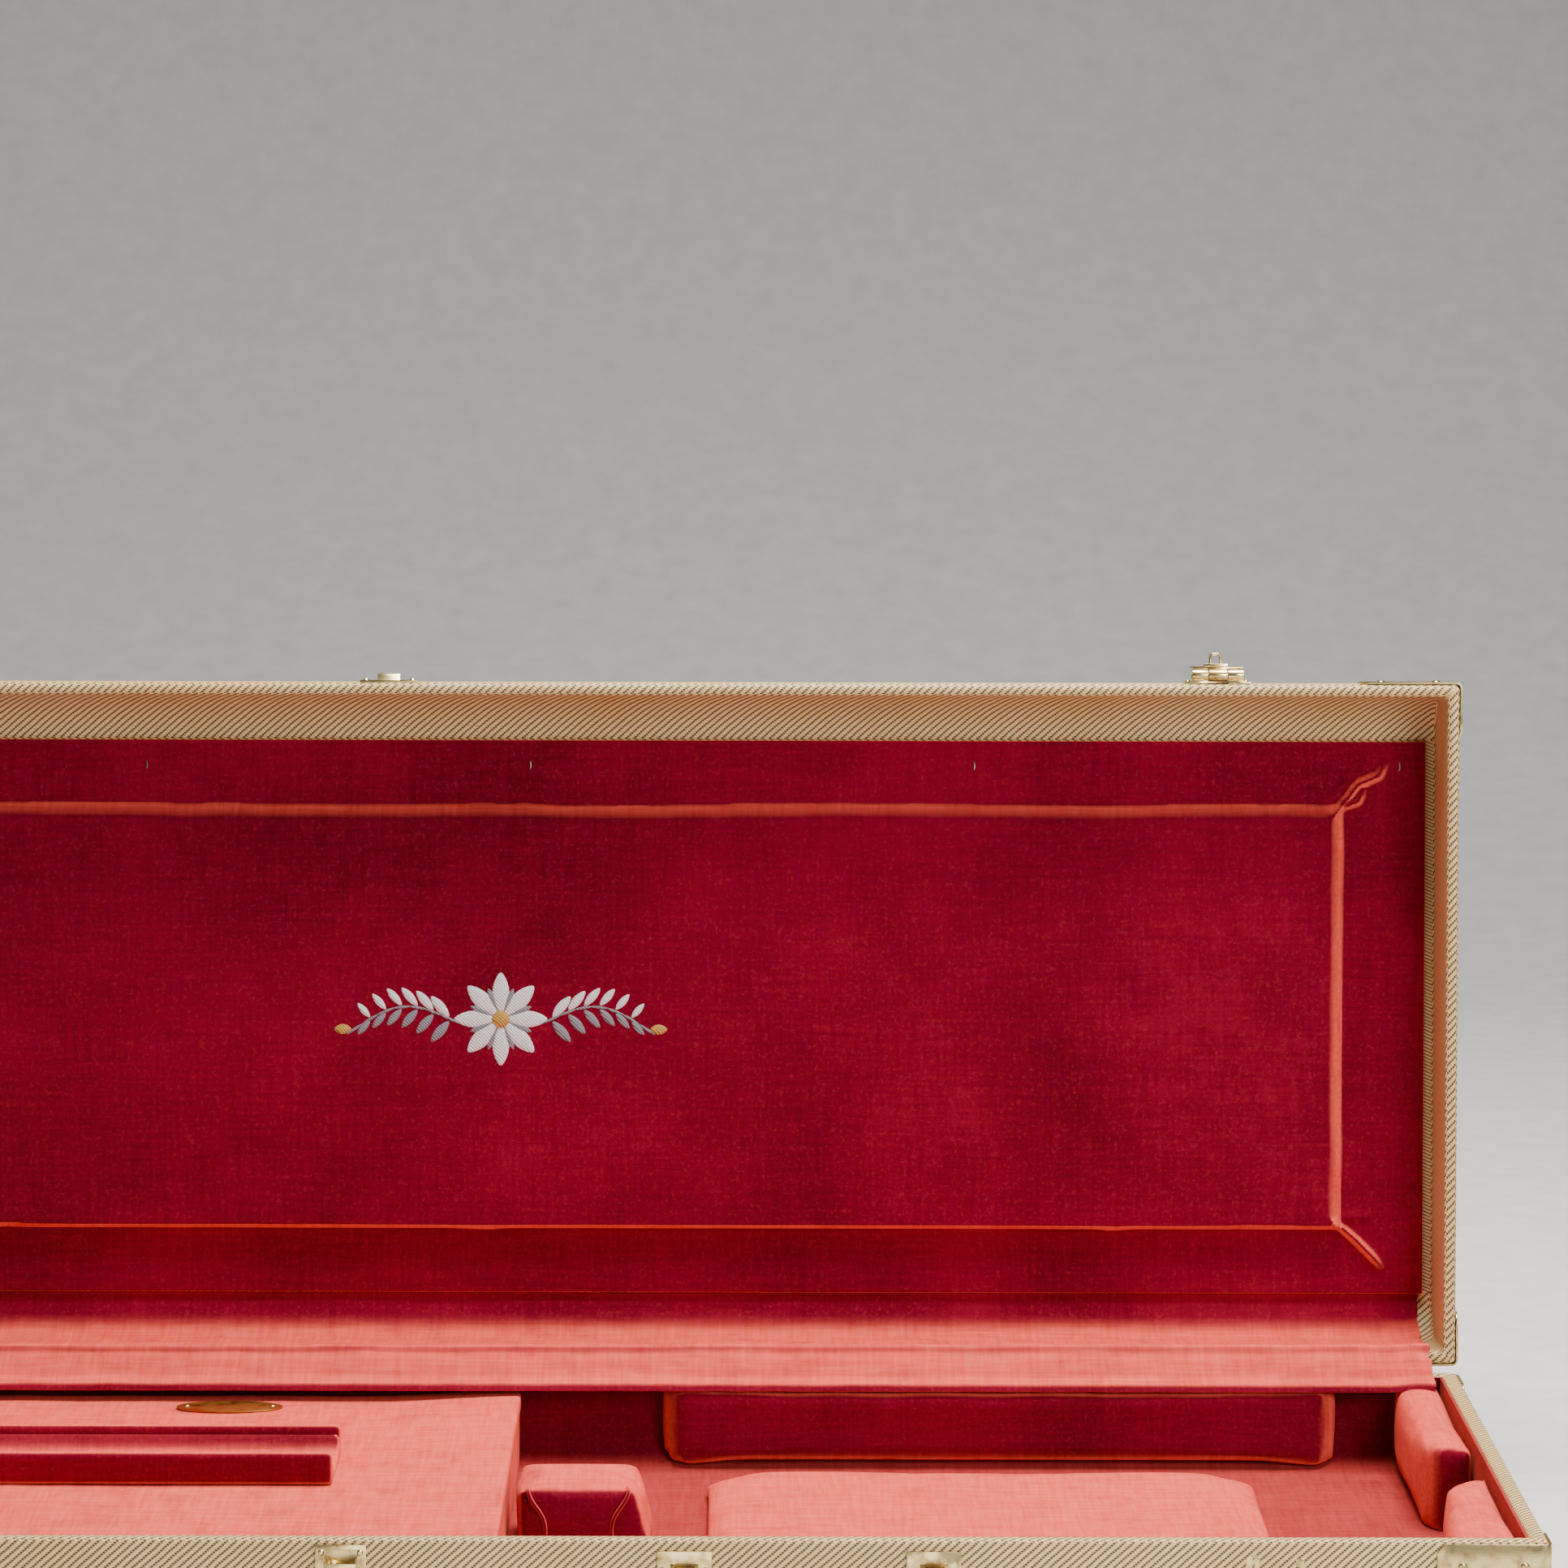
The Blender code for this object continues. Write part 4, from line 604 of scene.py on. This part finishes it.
def covered_board(name, low, high, columns, rows, relief, show, rounding, corner=0.0):
    """A board under plush. Its show face, up (1) or down (-1), is a grid with its lines at these
    columns and rows, and relief(x, y) raises it."""
    bpy.ops.object.select_all(action="DESELECT")
    size = high - low
    plane = high.z if show > 0 else low.z
    centre = (low + high) / 2
    bpy.ops.mesh.primitive_grid_add(
        x_subdivisions=len(columns) - 1,
        y_subdivisions=len(rows) - 1,
        size=1.0,
        location=(centre.x, centre.y, plane),
    )
    piece = bpy.context.object
    piece.scale = (size.x, size.y, 1.0)
    settled(piece, name)
    for v in piece.data.vertices:
        v.co.x = columns[round((v.co.x - low.x) / size.x * (len(columns) - 1))]
        v.co.y = rows[round((v.co.y - low.y) / size.y * (len(rows) - 1))]
    pick(piece, "FACE", lambda f: True)
    bpy.ops.mesh.region_to_loop()
    bpy.ops.mesh.extrude_edges_move(TRANSFORM_OT_translate={"value": (0, 0, -show * size.z)})
    bpy.ops.mesh.edge_face_add()
    bpy.ops.mesh.select_all(action="SELECT")
    bpy.ops.mesh.normals_make_consistent(inside=False)
    done()
    for v in piece.data.vertices:
        if corner:
            pivot = Vector(
                (
                    min(max(v.co.x, low.x), high.x - corner),
                    min(max(v.co.y, low.y + corner), high.y - corner),
                )
            )
            reach = v.co.xy - pivot
            if reach.length > corner:
                v.co.xy = pivot + reach.normalized() * corner
        if abs(v.co.z - plane) < MM / 100:
            v.co.z += show * relief(v.co.x, v.co.y)
    round_edges(piece, rounding, segments=3, angle=45)
    smooth(piece, 60)
    return piece


def ridge(x, y, path, width, height):
    """A fold that runs along a path and fades at both ends."""
    best = 0.0
    count = len(path) - 1
    for i, (start, end) in enumerate(zip(path, path[1:])):
        run = Vector(end) - Vector(start)
        t = max(0.0, min(1.0, (Vector((x, y)) - Vector(start)).dot(run) / run.length_squared))
        away = (Vector(start) + run * t - Vector((x, y))).length
        along = (i + t) / count
        fade = math.sin(math.pi * (0.12 + 0.88 * along)) ** 0.7
        best = max(best, height * fade * math.exp(-((away / width) ** 2)))
    return best


def make_lid_lining():
    """One piece of plush over the lid's board and the foam field in its middle."""
    board_low, board_high = shut_box("lid_panel")
    field_low, field_high = shut_box("lid_pad")
    board_high.y += 1.5 * MM
    rise = board_low.z - field_low.z
    half = (field_high - field_low) / 2
    middle = (field_low + field_high) / 2
    folds = []
    for side_x in (-1, 1):
        for side_y in (-1, 1):
            foot = Vector((side_x * (half.x - 0.002), middle.y + side_y * (half.y - 0.002)))

            def out(a, b, foot=foot, side_x=side_x, side_y=side_y):
                return (foot.x + side_x * a, foot.y + side_y * b)

            if side_y < 0:
                path = [out(-0.004, -0.003), out(0.004, 0.006), out(0.010, 0.014), out(0.022, 0.019)]
                path += [out(0.028, 0.030)]
                folds.append((path, 0.0024, 0.0058))
                folds.append(([out(0.0, 0.0), out(0.010, 0.004), out(0.014, 0.012)], 0.0022, 0.0042))
                folds.append(([out(-0.012, 0.003), out(0.0, 0.011), out(0.008, 0.022)], 0.0026, 0.0020))
            else:
                path = [out(-0.003, -0.003), out(0.010, 0.008), out(0.020, 0.018), out(0.027, 0.026)]
                folds.append((path, 0.0020, 0.0056))
                folds.append(([out(0.002, -0.004), out(0.012, -0.006), out(0.020, -0.004)], 0.003, 0.0018))

    def relief(x, y):
        wavy = 0.0012 * rough(x, y, 0.09, 3.0) + 0.0005 * rough(x, y, 0.022, 8.0)
        beyond_x = abs(x - middle.x) - half.x + wavy
        beyond_y = abs(y - middle.y) - half.y + wavy
        if beyond_x > 0 and beyond_y > 0:
            away = math.hypot(beyond_x, beyond_y)
        else:
            away = max(beyond_x, beyond_y)
        below = y > middle.y and beyond_y > beyond_x
        inside = max(0.0, min(1.0, -away / (FIELD_LOWER_SLOPE if below else FIELD_SLOPE)))
        raised = rise * (1 - (1 - inside) ** 1.5)
        crown = 0.0009 * inside * (1 + rough(x, y, 0.2, 5.0))
        lifted = 0.0
        from_corner = max(abs(abs(x - middle.x) - half.x), abs(abs(y - middle.y) - half.y))
        if from_corner < FOLD_REACH:
            for path, width, height in folds:
                lifted = max(lifted, ridge(x, y, path, width, height))
        return raised + crown + lifted + 0.0005 * rough(x, y, 0.05, 1.0)

    columns = lines_between(board_low.x, board_high.x, (field_low.x, field_high.x), 0.0045, 0.0014)
    rows = lines_between(board_low.y, board_high.y, (field_low.y, field_high.y), 0.0045, 0.0014)
    cover = covered_board("lid_plush_field", board_low, board_high, columns, rows, relief, -1, 0.0018)
    turned_open(cover)
    dress(cover, PLUSH, "lid", "lid_panel", "lid_pad", slot="plush_velvet")
    return relief


def make_base_lining():
    low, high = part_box("base_lining")
    bend = BEND - BASE_WALL
    piece = shell("base_plush_lining", low, high, LINING_WALL, LINING_FLOOR, bend, 1, 0.0)
    modify(piece, "SUBSURF", levels=1, render_levels=1, subdivision_type="SIMPLE")
    # the lining's darker crimson is painted shade
    dress(piece, SHADED_GLUED_PLUSH, "base", "base_lining", slot="plush_velvet")


def make_compartment():
    low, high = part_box("compartment_lid")

    def sag(x, y):
        warped = 0.0035 * ease((x - high.x + 0.09) / 0.09) * ease((y + 0.05) / 0.2)
        return warped + 0.0006 * rough(x, y, 0.06, 2.0) + 0.0003 * rough(x, y, 0.018, 4.0)

    columns = lines_between(low.x, high.x, (), BOARD_PITCH, BOARD_PITCH)
    rows = lines_between(low.y, high.y, (), BOARD_PITCH, BOARD_PITCH)
    door = covered_board(
        "compartment_door_plush", low, high, columns, rows, sag, 1, 0.0021, corner=0.006
    )
    dress(door, PLUSH, "compartment_door", "compartment_lid", slot="plush_velvet")
    low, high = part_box("neck_trough")
    inner = (high.y - low.y) / 2 - TROUGH_RAIL
    bed = low.z + TROUGH_FLOOR

    def cradle(p):
        """The rest for the neck is a hollow that bends up into its two rails."""
        t = min(1.0, abs(p.y) / inner)
        bowl = bed + (high.z - TROUGH_RIM - bed) * t**4.2
        if abs(p.y) < inner and low.z + TROUGH_RIM < p.z < bowl:
            return Vector((0, 0, bowl - p.z))
        return Vector()

    softened("neck_trough_plush", "neck_trough", 0.0013, 6, "compartment_door", cradle)
    for side in ("left", "right"):
        softened(f"compartment_wall_{side}_plush", f"compartment_wall_{side}", 0.002, 2, "base")


def softened(name, node, voxel, rounds, body, shaping=None):
    """Plush glued over a board: the board's shape with its edges softened."""
    piece = merged_copy(name, node)
    modify(piece, "REMESH", mode="VOXEL", voxel_size=voxel)
    if shaping:
        for v in piece.data.vertices:
            v.co += shaping(v.co)
    modify(piece, "SMOOTH", factor=0.5, iterations=rounds)
    smooth(piece, 60)
    dress(piece, PLUSH, body, node, slot="plush_velvet")
    return piece


# ---------------------------------------------------------------- stuffed blocks
def stuffed(name, node, voxel, cap, inset=0.0012, relief=None):
    """A foam block in a sewn plush cover, blown up by cloth simulation. Nothing moves more than cap."""
    low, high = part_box(node)
    piece = merged_copy(name, node)
    alone(piece)
    bpy.ops.object.mode_set(mode="EDIT")
    bpy.ops.mesh.select_all(action="SELECT")
    bpy.ops.transform.shrink_fatten(value=-inset, use_even_offset=True)
    done()
    modify(piece, "REMESH", mode="VOXEL", voxel_size=voxel)
    modify(piece, "SMOOTH", factor=0.5, iterations=4)
    start = [v.co.copy() for v in piece.data.vertices]
    blow_up(piece)
    for v, before in zip(piece.data.vertices, start):
        moved = v.co - before
        if moved.length > cap:
            v.co = before + moved.normalized() * cap
        # its foot is pressed into the plush on the floor
        v.co.z -= PRESSED_IN * (1 - ease((v.co.z - low.z) / PAD_FOOT))
        v.co.z = max(v.co.z, low.z - PRESSED_IN)
        v.co.x = min(max(v.co.x, low.x - cap / 2), high.x + cap / 2)
        v.co.y = min(max(v.co.y, low.y), high.y)
        if relief:
            v.co += relief(v.co)
    modify(piece, "SUBSURF", levels=1, render_levels=1)
    smooth(piece, 80)
    dress(piece, PLUSH, "base", node, slot="plush_velvet")
    return piece


def blow_up(piece):
    cloth = piece.modifiers.new("stuffing", "CLOTH")
    cloth.settings.use_pressure = True
    cloth.settings.uniform_pressure_force = 4.0
    cloth.settings.effector_weights.gravity = 0.0
    cloth.point_cache.frame_end = 20
    for number in range(1, 21):
        bpy.context.scene.frame_set(number)
    alone(piece)
    bpy.ops.object.modifier_apply(modifier=cloth.name)
    bpy.context.scene.frame_set(1)


def make_pads():
    def raised(node):
        """The top of a pad swells up between the boards that hold it."""
        low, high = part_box(node)

        def lift(p):
            share = ease((p.z - (high.z - 0.016)) / 0.015)
            lumps = 0.0009 * rough(p.x, p.y, 0.035, 4.0) + 0.0004 * rough(p.x, p.y, 0.012, 7.0)
            return Vector((0, 0, share * (PAD_SWELL + lumps)))

        return lift

    for node in ("back_side_pad", "front_side_pad", "end_pad_back", "end_pad_front"):
        stuffed(f"{node}_plush", node, voxel=0.004, cap=0.002, relief=raised(node))
    for node in ("head_pad_back", "head_pad_front"):
        stuffed(f"{node}_plush", node, voxel=0.005, cap=0.003, relief=raised(node))
    stuffed("floor_cushion_plush", "floor_cushion", voxel=0.004, cap=0.003, inset=0.0008)
    stuffed("neck_block_plush", "neck_block", voxel=0.003, cap=0.002)
    low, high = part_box("neck_block")
    seams = ((low.x + 0.0074, low.x + 0.016), (high.x - 0.0138, high.x - 0.0224))
    for number, (top_x, foot_x) in enumerate(seams, 1):
        points = [(top_x, low.y + 0.004, high.z - 0.0004), (top_x, low.y, high.z - 0.003)]
        points += [(foot_x, low.y - 0.0002, 0.032), (foot_x, low.y + 0.0006, 0.018)]
        piping = cord(f"neck_block_piping_{number}", points, PIPING_RADIUS)
        dress(piping, PLUSH, "base", slot="plush_velvet")


# ---------------------------------------------------------------- small things on the lid's plush
def make_ornament(relief):
    """Satin-stitched ornament in the middle of the lid: a rosette between two leafy sprigs."""
    board_low = shut_box("lid_panel")[0]
    centre = Vector(ORNAMENT_CENTRE)
    done_parts = {"white": [], "grey": [], "gold": []}

    def petal(x, y, long, wide, turn, colour, rise=0.0011):
        """One patch of satin stitch: a low pointed mound that lies on the plush."""
        bpy.ops.object.select_all(action="DESELECT")
        bpy.ops.mesh.primitive_uv_sphere_add(segments=20, ring_count=10, radius=1.0)
        piece = bpy.context.object
        across, along = math.sin(turn), math.cos(turn)
        for v in piece.data.vertices:
            a = v.co.x * long / 2
            b = v.co.y * wide / 2 * (1 - 0.35 * v.co.x**2)
            px = centre.x + x + a * along - b * across
            py = centre.y + y + a * across + b * along
            v.co = (px, py, board_low.z - relief(px, py) - v.co.z * rise)
        alone(piece)
        bpy.ops.object.mode_set(mode="EDIT")
        bpy.ops.mesh.select_all(action="SELECT")
        bpy.ops.mesh.normals_make_consistent(inside=False)
        done()
        done_parts[colour].append(piece)

    for number in range(8):
        turn = number * math.pi / 4
        reach = 0.0155
        petal(reach * math.cos(turn), reach * math.sin(turn), 0.024, 0.010, turn, "white")
        between = turn + math.pi / 8
        petal(0.0125 * math.cos(between), 0.0125 * math.sin(between), 0.014, 0.004, between, "grey", 0.0008)
    petal(0, 0, 0.011, 0.011, 0, "gold", 0.0022)
    for side in (-1, 1):
        for number in range(7):
            t = number / 6
            stem_x = side * (0.030 + 0.056 * t)
            stem_y = -0.010 * math.sin(t * math.pi) + 0.006 * t
            slope = side * (-0.010 * math.pi * math.cos(t * math.pi) + 0.006) / 0.056
            petal(stem_x, stem_y, 0.012, 0.0016, math.atan(slope), "grey", 0.0007)
            if number == 6:
                petal(stem_x + side * 0.007, stem_y, 0.010, 0.006, 0, "gold", 0.0012)
                continue
            size = 0.016 - 0.006 * t
            for up in (-1, 1):
                turn = up * side * 0.85
                x = stem_x + side * size * 0.36
                y = stem_y + up * size * 0.46
                petal(x, y, size, size * 0.36, turn, "white" if up < 0 else "grey")
    threads = {"white": WHITE_THREAD, "grey": GREY_THREAD, "gold": GOLD_THREAD}
    for colour, parts in done_parts.items():
        piece = joined(parts, f"lid_stitching_{colour}")
        turned_open(piece)
        smooth(piece, 60)
        dress(piece, threads[colour], "lid")


def make_staples(relief):
    """The staples that hold the plush to the board, each half sunk in the pile."""
    board_low, board_high = shut_box("lid_panel")
    y = board_low.y + 0.0147
    staples = []
    for x in STAPLE_PLACES:
        z = board_low.z - relief(x, y) - 0.0003
        wire = [(x, y - 0.002, z + 0.0015), (x, y - 0.002, z), (x + 0.0003, y, z - 0.0002)]
        wire += [(x, y + 0.002, z), (x, y + 0.002, z + 0.0015)]
        staples.append(cord("staple", wire, STAPLE_WIRE))
    piece = joined(staples, "lid_staples")
    turned_open(piece)
    dress(piece, STAPLE_STEEL, "lid")


# ---------------------------------------------------------------- the strip over the hinges
def make_hinge_strip():
    """Plush glued inside the lid's bend, over both rims and on to the pad at the back of the base."""
    pad_low, pad_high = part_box("back_side_pad")
    wall_y = LID_HIGH.y - LID_WALL
    radius = BEND - LID_WALL
    middle_y = wall_y - radius
    middle_z = LID_HIGH.z - LID_WALL - radius
    lift = STRIP_LIFT
    front, top = pad_low.y, pad_high.z + PAD_SWELL
    rim_corner = OPEN_TURN @ Vector((0, wall_y - lift, LID_LOW.z))
    marks = [
        Vector((0, front + 0.0008, top - 0.0025)),
        Vector((0, front + 0.0022, top + 0.0002)),
        Vector((0, front + 0.0050, top + 0.0014)),
        Vector((0, front + 0.0120, top + 0.0034)),
    ]
    for share in (0.5, 0.75):
        between = marks[3].lerp(rim_corner, share)
        marks.append(between + Vector((0, 0, 0.0006)))
    marks.append(rim_corner + Vector((0, 0.0005, 0.0012)))
    hem_mark = len(marks) - 1
    marks.append(OPEN_TURN @ Vector((0, wall_y - lift, LID_LOW.z + 0.008)))
    marks.append(OPEN_TURN @ Vector((0, wall_y - lift, LID_LOW.z + 0.022)))
    marks.append(OPEN_TURN @ Vector((0, wall_y - lift, middle_z)))
    for turn in range(11, 89, 11):
        y = middle_y + (radius - lift) * math.cos(math.radians(turn))
        z = middle_z + (radius - lift) * math.sin(math.radians(turn))
        marks.append(OPEN_TURN @ Vector((0, y, z)))
    path, mark_steps = flowing(marks, 6)
    reach = [0.0]
    for a, b in zip(path, path[1:]):
        reach.append(reach[-1] + (b - a).length)
    length = reach[-1]
    hem_at = reach[mark_steps * hem_mark]
    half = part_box("hinge_strip")[1].x
    left, right = -half, half - STRIP_SHORT
    columns, rows = 260, 60
    bpy.ops.object.select_all(action="DESELECT")
    bpy.ops.mesh.primitive_grid_add(x_subdivisions=columns, y_subdivisions=rows, size=1.0)
    piece = settled(bpy.context.object, "hinge_plush_strip")
    for v in piece.data.vertices:
        x = left + (v.co.x + 0.5) * (right - left)
        s = (v.co.y + 0.5) * length
        i = next(k for k in range(1, len(reach)) if s <= reach[k] + 1e-9 or k == len(reach) - 1)
        t = (s - reach[i - 1]) / (reach[i] - reach[i - 1])
        p = path[i - 1].lerp(path[i], t)
        free = ease((s - 0.006) / 0.012) * ease((hem_at + 0.012 - s) / 0.012)
        p.z += 0.0007 * free * (1 + rough(x, s, 0.045, 6.0)) + 0.0003 * rough(x, s, 0.012, 2.0)
        raw = ease((x - (right - 0.03)) / 0.03)
        x += raw * (0.0025 * rough(s, x, 0.012, 9.0) + 0.0012 * rough(s, x, 0.004, 4.0))
        p.z += raw * 0.0012 * (1 + rough(x, s, 0.010, 5.0))
        # the hem where two widths of cloth meet
        hem = hem_at + 0.001 + 0.0012 * math.sin(x * 7) + 0.002 * ease((x - 0.2) / 0.3)
        p.z += 0.0008 * math.exp(-(((s - hem + 0.003) / 0.0022) ** 2))
        p.z -= 0.0014 * math.exp(-(((s - hem) / 0.0009) ** 2))
        v.co = (x, p.y, p.z)
    modify(piece, "SMOOTH", factor=0.4, iterations=1)
    modify(piece, "SOLIDIFY", thickness=STRIP_THICKNESS, offset=0.0)
    smooth(piece, 80)
    piece.data.materials.clear()
    piece.data.materials.append(PLUSH)
    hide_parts("hinge_strip")
    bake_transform(piece)


# ---------------------------------------------------------------- hardware
def plated_copy(node, body, bevel=0.00035, material=None, slot="brass_hardware"):
    piece = merged_copy(f"{node}_plated", node)
    round_edges(piece, bevel, segments=2, angle=30)
    smooth(piece, 30)
    return dress(piece, material or PLATED, body, node, slot=slot)


def dome(centre, radius, rise, out):
    """A rivet head: half of a flattened ball. out is the way it faces."""
    bpy.ops.object.select_all(action="DESELECT")
    bpy.ops.mesh.primitive_uv_sphere_add(segments=16, ring_count=8, radius=1.0)
    piece = bpy.context.object
    piece.rotation_mode = "QUATERNION"
    piece.rotation_quaternion = Vector(out).to_track_quat("Z", "Y")
    piece.scale = (radius, radius, rise)
    piece.location = centre
    return settled(piece, "dome")


def make_bracket(node, body):
    """A pressed corner plate: two leaves bent round the corner, with round tips and three rivets."""
    shut = node.startswith("lid")
    low, high = shut_box(node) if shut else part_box(node)
    side_x = 1 if high.x > 0 else -1
    side_y = 1 if high.y > 0 else -1
    name = f"{node}_plated"
    piece = block(name, low, high)
    pick(
        piece,
        "FACE",
        lambda f: not (f.normal.x * side_x > 0.9 or f.normal.y * side_y > 0.9),
    )
    bpy.ops.mesh.delete(type="FACE")
    done()
    corner_x = high.x if side_x > 0 else low.x
    corner_y = high.y if side_y > 0 else low.y

    def at_corner(v):
        return abs(v.co.x - corner_x) < MM / 10 and abs(v.co.y - corner_y) < MM / 10

    pick(piece, "VERT", lambda v: not at_corner(v))
    bpy.ops.mesh.bevel(offset=BRACKET_TIP, segments=5, affect="VERTICES")
    done()
    pick(piece, "EDGE", lambda e: all(at_corner(v) for v in e.verts))
    bpy.ops.mesh.bevel(offset=BRACKET_CORNER, segments=5, affect="EDGES")
    done()
    modify(piece, "SOLIDIFY", thickness=BRACKET_THICKNESS, offset=-1.0)
    round_edges(piece, 0.0003, segments=2, angle=40)
    rivets = []
    middle = (low.z + high.z) / 2
    for step in (0.014, 0.046):
        place = (corner_x - side_x * step, corner_y, middle)
        rivets.append(dome(place, *BRACKET_RIVET, (0, side_y, 0)))
    place = (corner_x, corner_y - side_y * 0.018, middle)
    rivets.append(dome(place, *BRACKET_RIVET, (side_x, 0, 0)))
    piece = joined([piece, *rivets], name)
    smooth(piece, 35)
    if shut:
        turned_open(piece)
    dress(piece, PLATED, body, node, slot="brass_hardware")


def make_hardware():
    for side in ("front_left", "front_right", "back_left", "back_right"):
        make_bracket(f"base_bracket_{side}", "base")
        make_bracket(f"lid_bracket_{side}", "lid")
    for number in (1, 2, 3):
        plated_copy(f"hinge_base_leaf_{number}", "base")
        plated_copy(f"hinge_lid_leaf_{number}", "lid")
        plated_copy(f"hinge_pin_{number}", "base", 0.0002)
    for word in ("left", "middle"):
        plated_copy(f"latch_plate_{word}", "base")
        plated_copy(f"latch_lever_{word}", f"lever_{word}", 0.0004)
        plated_copy(f"latch_loop_{word}", f"loop_{word}", 0.0001)
        plated_copy(f"latch_keeper_{word}", "lid", 0.0005)
    for node, body in (
        ("lock_body", "base"),
        ("lock_button", "lock_button"),
        ("lock_cylinder", "lock_cylinder"),
        ("hasp_plate", "lid"),
        ("hasp_pin", "lid"),
        ("hasp_flap", "hasp"),
        ("handle_plate_left", "base"),
        ("handle_plate_right", "base"),
        ("handle_link_left", "handle"),
        ("handle_link_right", "handle"),
    ):
        plated_copy(node, body)
    plated_copy("name_plate", "compartment_door", 0.0003, NAME_BRASS, "name_plate_brass")
    low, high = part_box("name_plate")
    middle_y = (low.y + high.y) / 2
    pin_places = (low.x + NAME_PIN_INSET, high.x - NAME_PIN_INSET)
    pins = [dome((x, middle_y, high.z), *NAME_PIN, (0, 0, 1)) for x in pin_places]
    dress(joined(pins, "name_plate_pins"), PLATED, "compartment_door", slot="brass_hardware")
    grip = merged_copy("handle_grip_leather", "handle_grip")
    modify(grip, "SUBSURF", levels=1, render_levels=1)
    smooth(grip, 60)
    dress(grip, LEATHER, "handle", "handle_grip", slot="handle_leather")


# ---------------------------------------------------------------- floor, light, camera
def make_stage():
    bpy.ops.object.select_all(action="DESELECT")
    bpy.ops.mesh.primitive_plane_add(size=16.0, location=(0, -4.0, -0.0004))
    floor = settled(bpy.context.object, "floor")
    pick(floor, "EDGE", lambda e: all(v.co.y > 3.9 for v in e.verts))
    bpy.ops.mesh.extrude_edges_move(TRANSFORM_OT_translate={"value": (0, 0, 6.0)})
    done()
    pick(floor, "EDGE", lambda e: all(v.co.y > 3.9 and v.co.z < 0.1 for v in e.verts))
    bpy.ops.mesh.bevel(offset=2.0, segments=16, affect="EDGES")
    done()
    smooth(floor, 60)
    floor.data.materials.append(FLOOR_PAINT)
    world = bpy.data.worlds.new("studio")
    bpy.context.scene.world = world
    world.use_nodes = True
    world.node_tree.nodes["Background"].inputs[0].default_value = linear("#d6d8dc")
    world.node_tree.nodes["Background"].inputs[1].default_value = 0.24
    aim = Vector(LIGHT_AIM)
    for name, place, size, power in (
        ("key", (1.25, -1.75, 1.05), 0.8, 34.0),
        ("low fill", (0.1, -0.95, 0.06), 0.5, 2.2),
        ("top", (0.5, 0.1, 2.2), 1.2, 128.0),
    ):
        light = bpy.data.lights.new(name, "AREA")
        light.size = size
        light.energy = power
        holder = bpy.data.objects.new(name, light)
        bpy.context.scene.collection.objects.link(holder)
        holder.location = place
        holder.rotation_euler = (aim - Vector(place)).to_track_quat("-Z", "Y").to_euler()


def make_camera():
    """Above the open lid and 2.9 m in front of the front rim, looking a little down."""
    data = bpy.data.cameras.new("view")
    data.sensor_width = 36.0
    data.lens = CAMERA_LENS
    data.shift_x = CAMERA_SHIFT
    camera = bpy.data.objects.new("view", data)
    bpy.context.scene.collection.objects.link(camera)
    pitch = Matrix.Rotation(math.radians(90 - CAMERA_DIP), 4, "X")
    roll = Matrix.Rotation(math.radians(CAMERA_ROLL), 4, "Z")
    camera.matrix_world = Matrix.Translation(CAMERA_PLACE) @ pitch @ roll
    bpy.context.scene.camera = camera


# ---------------------------------------------------------------- the whole case
make_camera()
make_stage()
make_shells()
make_base_lining()
FIELD_RELIEF = make_lid_lining()
make_compartment()
make_pads()
make_ornament(FIELD_RELIEF)
make_staples(FIELD_RELIEF)
make_hinge_strip()
make_hardware()
